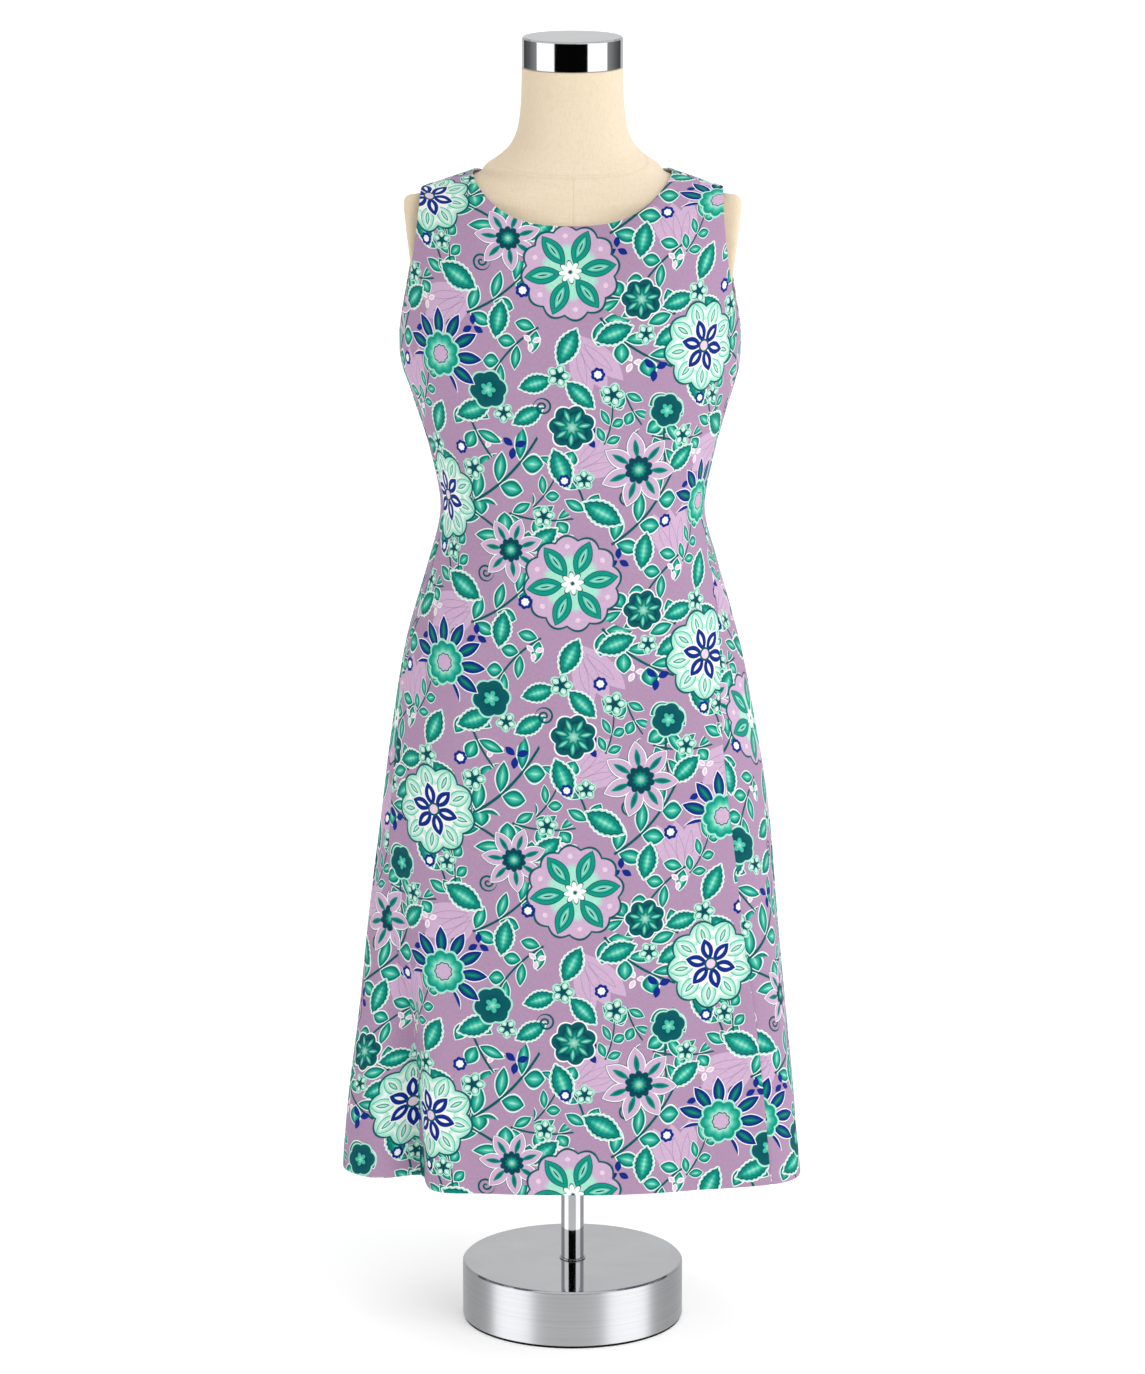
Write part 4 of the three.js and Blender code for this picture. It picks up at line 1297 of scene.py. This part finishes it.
wrong_side = add_node(print_tree, "ShaderNodeAttribute", attribute_name="wrong_side")["Fac"]
faded = {0: formula("w * 0.55", w=wrong_side), 6: colour, 7: WRONG_SIDE}
faded = add_node(print_tree, "ShaderNodeMix", faded, data_type="RGBA")[2]
uneven = {"Vector": cloth_place, "Scale": DYE_SCALE, "Detail": 3.0}
uneven = add_node(print_tree, "ShaderNodeTexNoise", uneven)[0]
dye = add_node(print_tree, "ShaderNodeMapRange", {"Value": uneven, 1: 0.25, 2: 0.75, 3: 0.93, 4: 1.07})[0]
dyed = {0: 1.0, 6: faded, 7: dye}
warp, weft = [formula("sin(at * turns)", at=at, turns=2 * math.pi / (SATEEN_THREAD * MM)) for at in (u, v)]
pebble = {"Vector": cloth_place, "Scale": 1 / (SATEEN_PEBBLE * MM), "Detail": 2.0}
pebble = add_node(print_tree, "ShaderNodeTexNoise", pebble)[0]
face_height = formula("warp * weft * 0.3 + pebble", warp=warp, weft=weft, pebble=pebble)
weave_up = {"Strength": 0.5, "Distance": SATEEN_RELIEF * MM, "Height": face_height}
finish_material(print_tree, {
    "Base Color": add_node(print_tree, "ShaderNodeMix", dyed, data_type="RGBA", blend_type="MULTIPLY")[2],
    "Roughness": 0.72,
    "Specular IOR Level": 0.07,
    "Sheen Weight": 0.03,
    "Sheen Roughness": 0.45,
    "Normal": add_node(print_tree, "ShaderNodeBump", weave_up)[0],
})

for panel in PANELS:
    points, faces, places, inside = panel_mesh(panel)
    cloth = add_piece("printed_" + panel["name"], points, faces, sateen)
    set_cloth_map(cloth, places)
    shares = cloth.data.attributes.new("wrong_side", "FLOAT", "POINT")
    shares.data.foreach_set("value", inside.astype(np.float32))
    wide, long, area = panel["flat"]
    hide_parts(panel["name"])
    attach(cloth, "root")


# ---- Studio ----
# A wide pale floor with a white backdrop far round it, window light from the right, a paler light
# from the far right, and the glow of the pale room. A ring of cards shows only in polished metal.
FLOOR_SIZE = 60.0
BACKDROP_SIDES = 64
CAMERA_BACK = 5.163866
CAMERA_UP = 1.783777
LOOK_DOWN = 13.077
LENS = 156.447
# How bright the room is straight ahead of the object, overhead and behind it.
ROOM_FRONT = 0.44
ROOM_OVERHEAD = 0.84
ROOM_BACK = 1.05
# The floor's paper gives a little light of its own, as if lit from above on all sides.
PAPER_GLOW = 0.27
# Window light from the right of the camera and a paler one from the far right: strength, width in
# degrees, and the direction that each comes from.
LAMPS = [
    ("key", 1.05, 45.0, (0.52, -0.66, 0.62)),
    ("rim", 0.60, 50.0, (0.95, 0.30, 0.15)),
]
# Cards stand all round and hang below floor level, and only polished metal sees them. Each row is an
# angle round from the camera, to its right, then how bright the cards are below the floor, above it,
# and in a belt just under the height of the neck cap.
CARD_RADIUS = 1600.0
CARD_BELTS = [(-1100, 0), (-30, 0), (-10, 1), (880, 1), (900, 2), (1250, 2), (1270, 1), (2200, 1)]
CARDS = [
    (-180, 0.62, 0.75, 0.75),
    (-146, 0.55, 0.60, 0.70),
    (-143, 0.50, 0.50, 0.06),
    (-115, 0.48, 0.45, 0.16),
    (-89, 0.52, 0.45, 0.38),
    (-87, 1.70, 1.30, 1.80),
    (-43, 1.70, 1.30, 1.80),
    (-40, 0.78, 0.002, 0.002),
    (33, 0.78, 0.002, 0.002),
    (36, 1.70, 1.30, 1.80),
    (84, 1.70, 1.30, 1.80),
    (86, 0.52, 0.45, 0.38),
    (115, 0.48, 0.45, 0.16),
    (139, 0.50, 0.50, 0.06),
    (142, 0.55, 0.60, 0.70),
    (180, 0.62, 0.75, 0.75),
]
PAPER_WHITE = linear("#FFFFFF")

scene = bpy.context.scene
scene.view_settings.view_transform = "Standard"
camera = bpy.data.objects.new("camera", bpy.data.cameras.new("camera"))
camera.data.lens = LENS
camera.location = (0.0, -CAMERA_BACK, CAMERA_UP)
camera.rotation_euler = (math.radians(90 - LOOK_DOWN), 0.0, 0.0)
scene.collection.objects.link(camera)
scene.camera = camera


def hide_from(piece, *rays):
    """Keeps a piece of the studio out of sight of some kinds of ray."""
    for ray in rays:
        setattr(piece, "visible_" + ray, False)


# Matt paper: pale, with a barely uneven tone.
paper, tree = new_material("floor_paper")
place = add_node(tree, "ShaderNodeTexCoord")["Object"]
mottle = add_node(tree, "ShaderNodeTexNoise", {"Vector": place, "Scale": 0.8, "Detail": 2.0})[0]
tone = {0: mottle, 6: linear("#F8F8F7"), 7: linear("#FBFBFA")}
finish_material(tree, {
    "Base Color": add_node(tree, "ShaderNodeMix", tone, data_type="RGBA")[2],
    "Roughness": 0.9,
    "Emission Color": PAPER_WHITE,
    "Emission Strength": PAPER_GLOW,
})
half = FLOOR_SIZE / 2 / MM
points = [(-half, -half, 0), (half, -half, 0), (half, half, 0), (-half, half, 0)]
floor = add_piece("floor", points, [(0, 1, 2, 3)], paper)
hide_from(floor, "glossy")

# Backdrop: white paper far round the floor's edge, lit so brightly that it shows no shade.
backdrop_paper, tree = new_material("backdrop_paper")
finish_material(tree, {"Color": PAPER_WHITE, "Strength": 1.0}, "ShaderNodeEmission")
turns = np.linspace(0, 2 * math.pi, BACKDROP_SIDES, endpoint=False)
points = [(half * math.cos(turn), half * math.sin(turn), height) for height in (0, half) for turn in turns]
backdrop = add_piece("backdrop", points, grid_faces(2, BACKDROP_SIDES).tolist(), backdrop_paper)
hide_from(backdrop, "diffuse", "glossy", "shadow")

# The room is paler overhead and behind the object than in front, so each side of it is edged with light.
world = bpy.data.worlds.new("studio")
scene.world = world
world.use_nodes = True
tree = world.node_tree
tree.nodes.clear()
way = add_node(tree, "ShaderNodeTexCoord")["Generated"]
_, y, z = add_node(tree, "ShaderNodeSeparateXYZ", {0: way})
back = add_node(tree, "ShaderNodeMapRange", {"Value": y, 1: -0.7, 2: 0.7, 3: ROOM_FRONT, 4: ROOM_BACK})[0]
glow = add_node(tree, "ShaderNodeMapRange", {"Value": z, 1: 0.0, 2: 0.9, 3: back, 4: ROOM_OVERHEAD})[0]
room = add_node(tree, "ShaderNodeBackground", {"Color": linear("#F9F9FA"), "Strength": glow})[0]
add_node(tree, "ShaderNodeOutputWorld", {0: room})

for name, strength, wide, (across, back, up) in LAMPS:
    lamp = bpy.data.lights.new(name, "SUN")
    lamp.energy = strength
    lamp.angle = math.radians(wide)
    light = bpy.data.objects.new(name, lamp)
    light.rotation_euler = (math.atan2(math.hypot(across, back), up), 0.0, math.atan2(across, -back))
    scene.collection.objects.link(light)

# Reflection cards: plain card and soft boxes, as bright as each angle needs.
card, tree = new_material("studio_cards")
glow = add_node(tree, "ShaderNodeAttribute", attribute_name="glow")["Fac"]
finish_material(tree, {"Color": PAPER_WHITE, "Strength": glow}, "ShaderNodeEmission")
marks, *glows = np.array(CARDS).T
turns = np.unique(np.concatenate([np.arange(-180, 181, 4), marks]))
glows = [np.interp(turns, marks, glow) for glow in glows]
points = [
    (CARD_RADIUS * math.sin(turn), -CARD_RADIUS * math.cos(turn), height)
    for height, _ in CARD_BELTS
    for turn in np.radians(turns)
]
faces = grid_faces(len(CARD_BELTS), len(turns), around=False).tolist()
cards = add_piece("reflection_cards", points, faces, card)
values = cards.data.attributes.new("glow", "FLOAT", "POINT")
values.data.foreach_set("value", np.concatenate([glows[belt] for _, belt in CARD_BELTS]).astype(np.float32))
hide_from(cards, "camera", "diffuse", "shadow", "transmission", "volume_scatter")
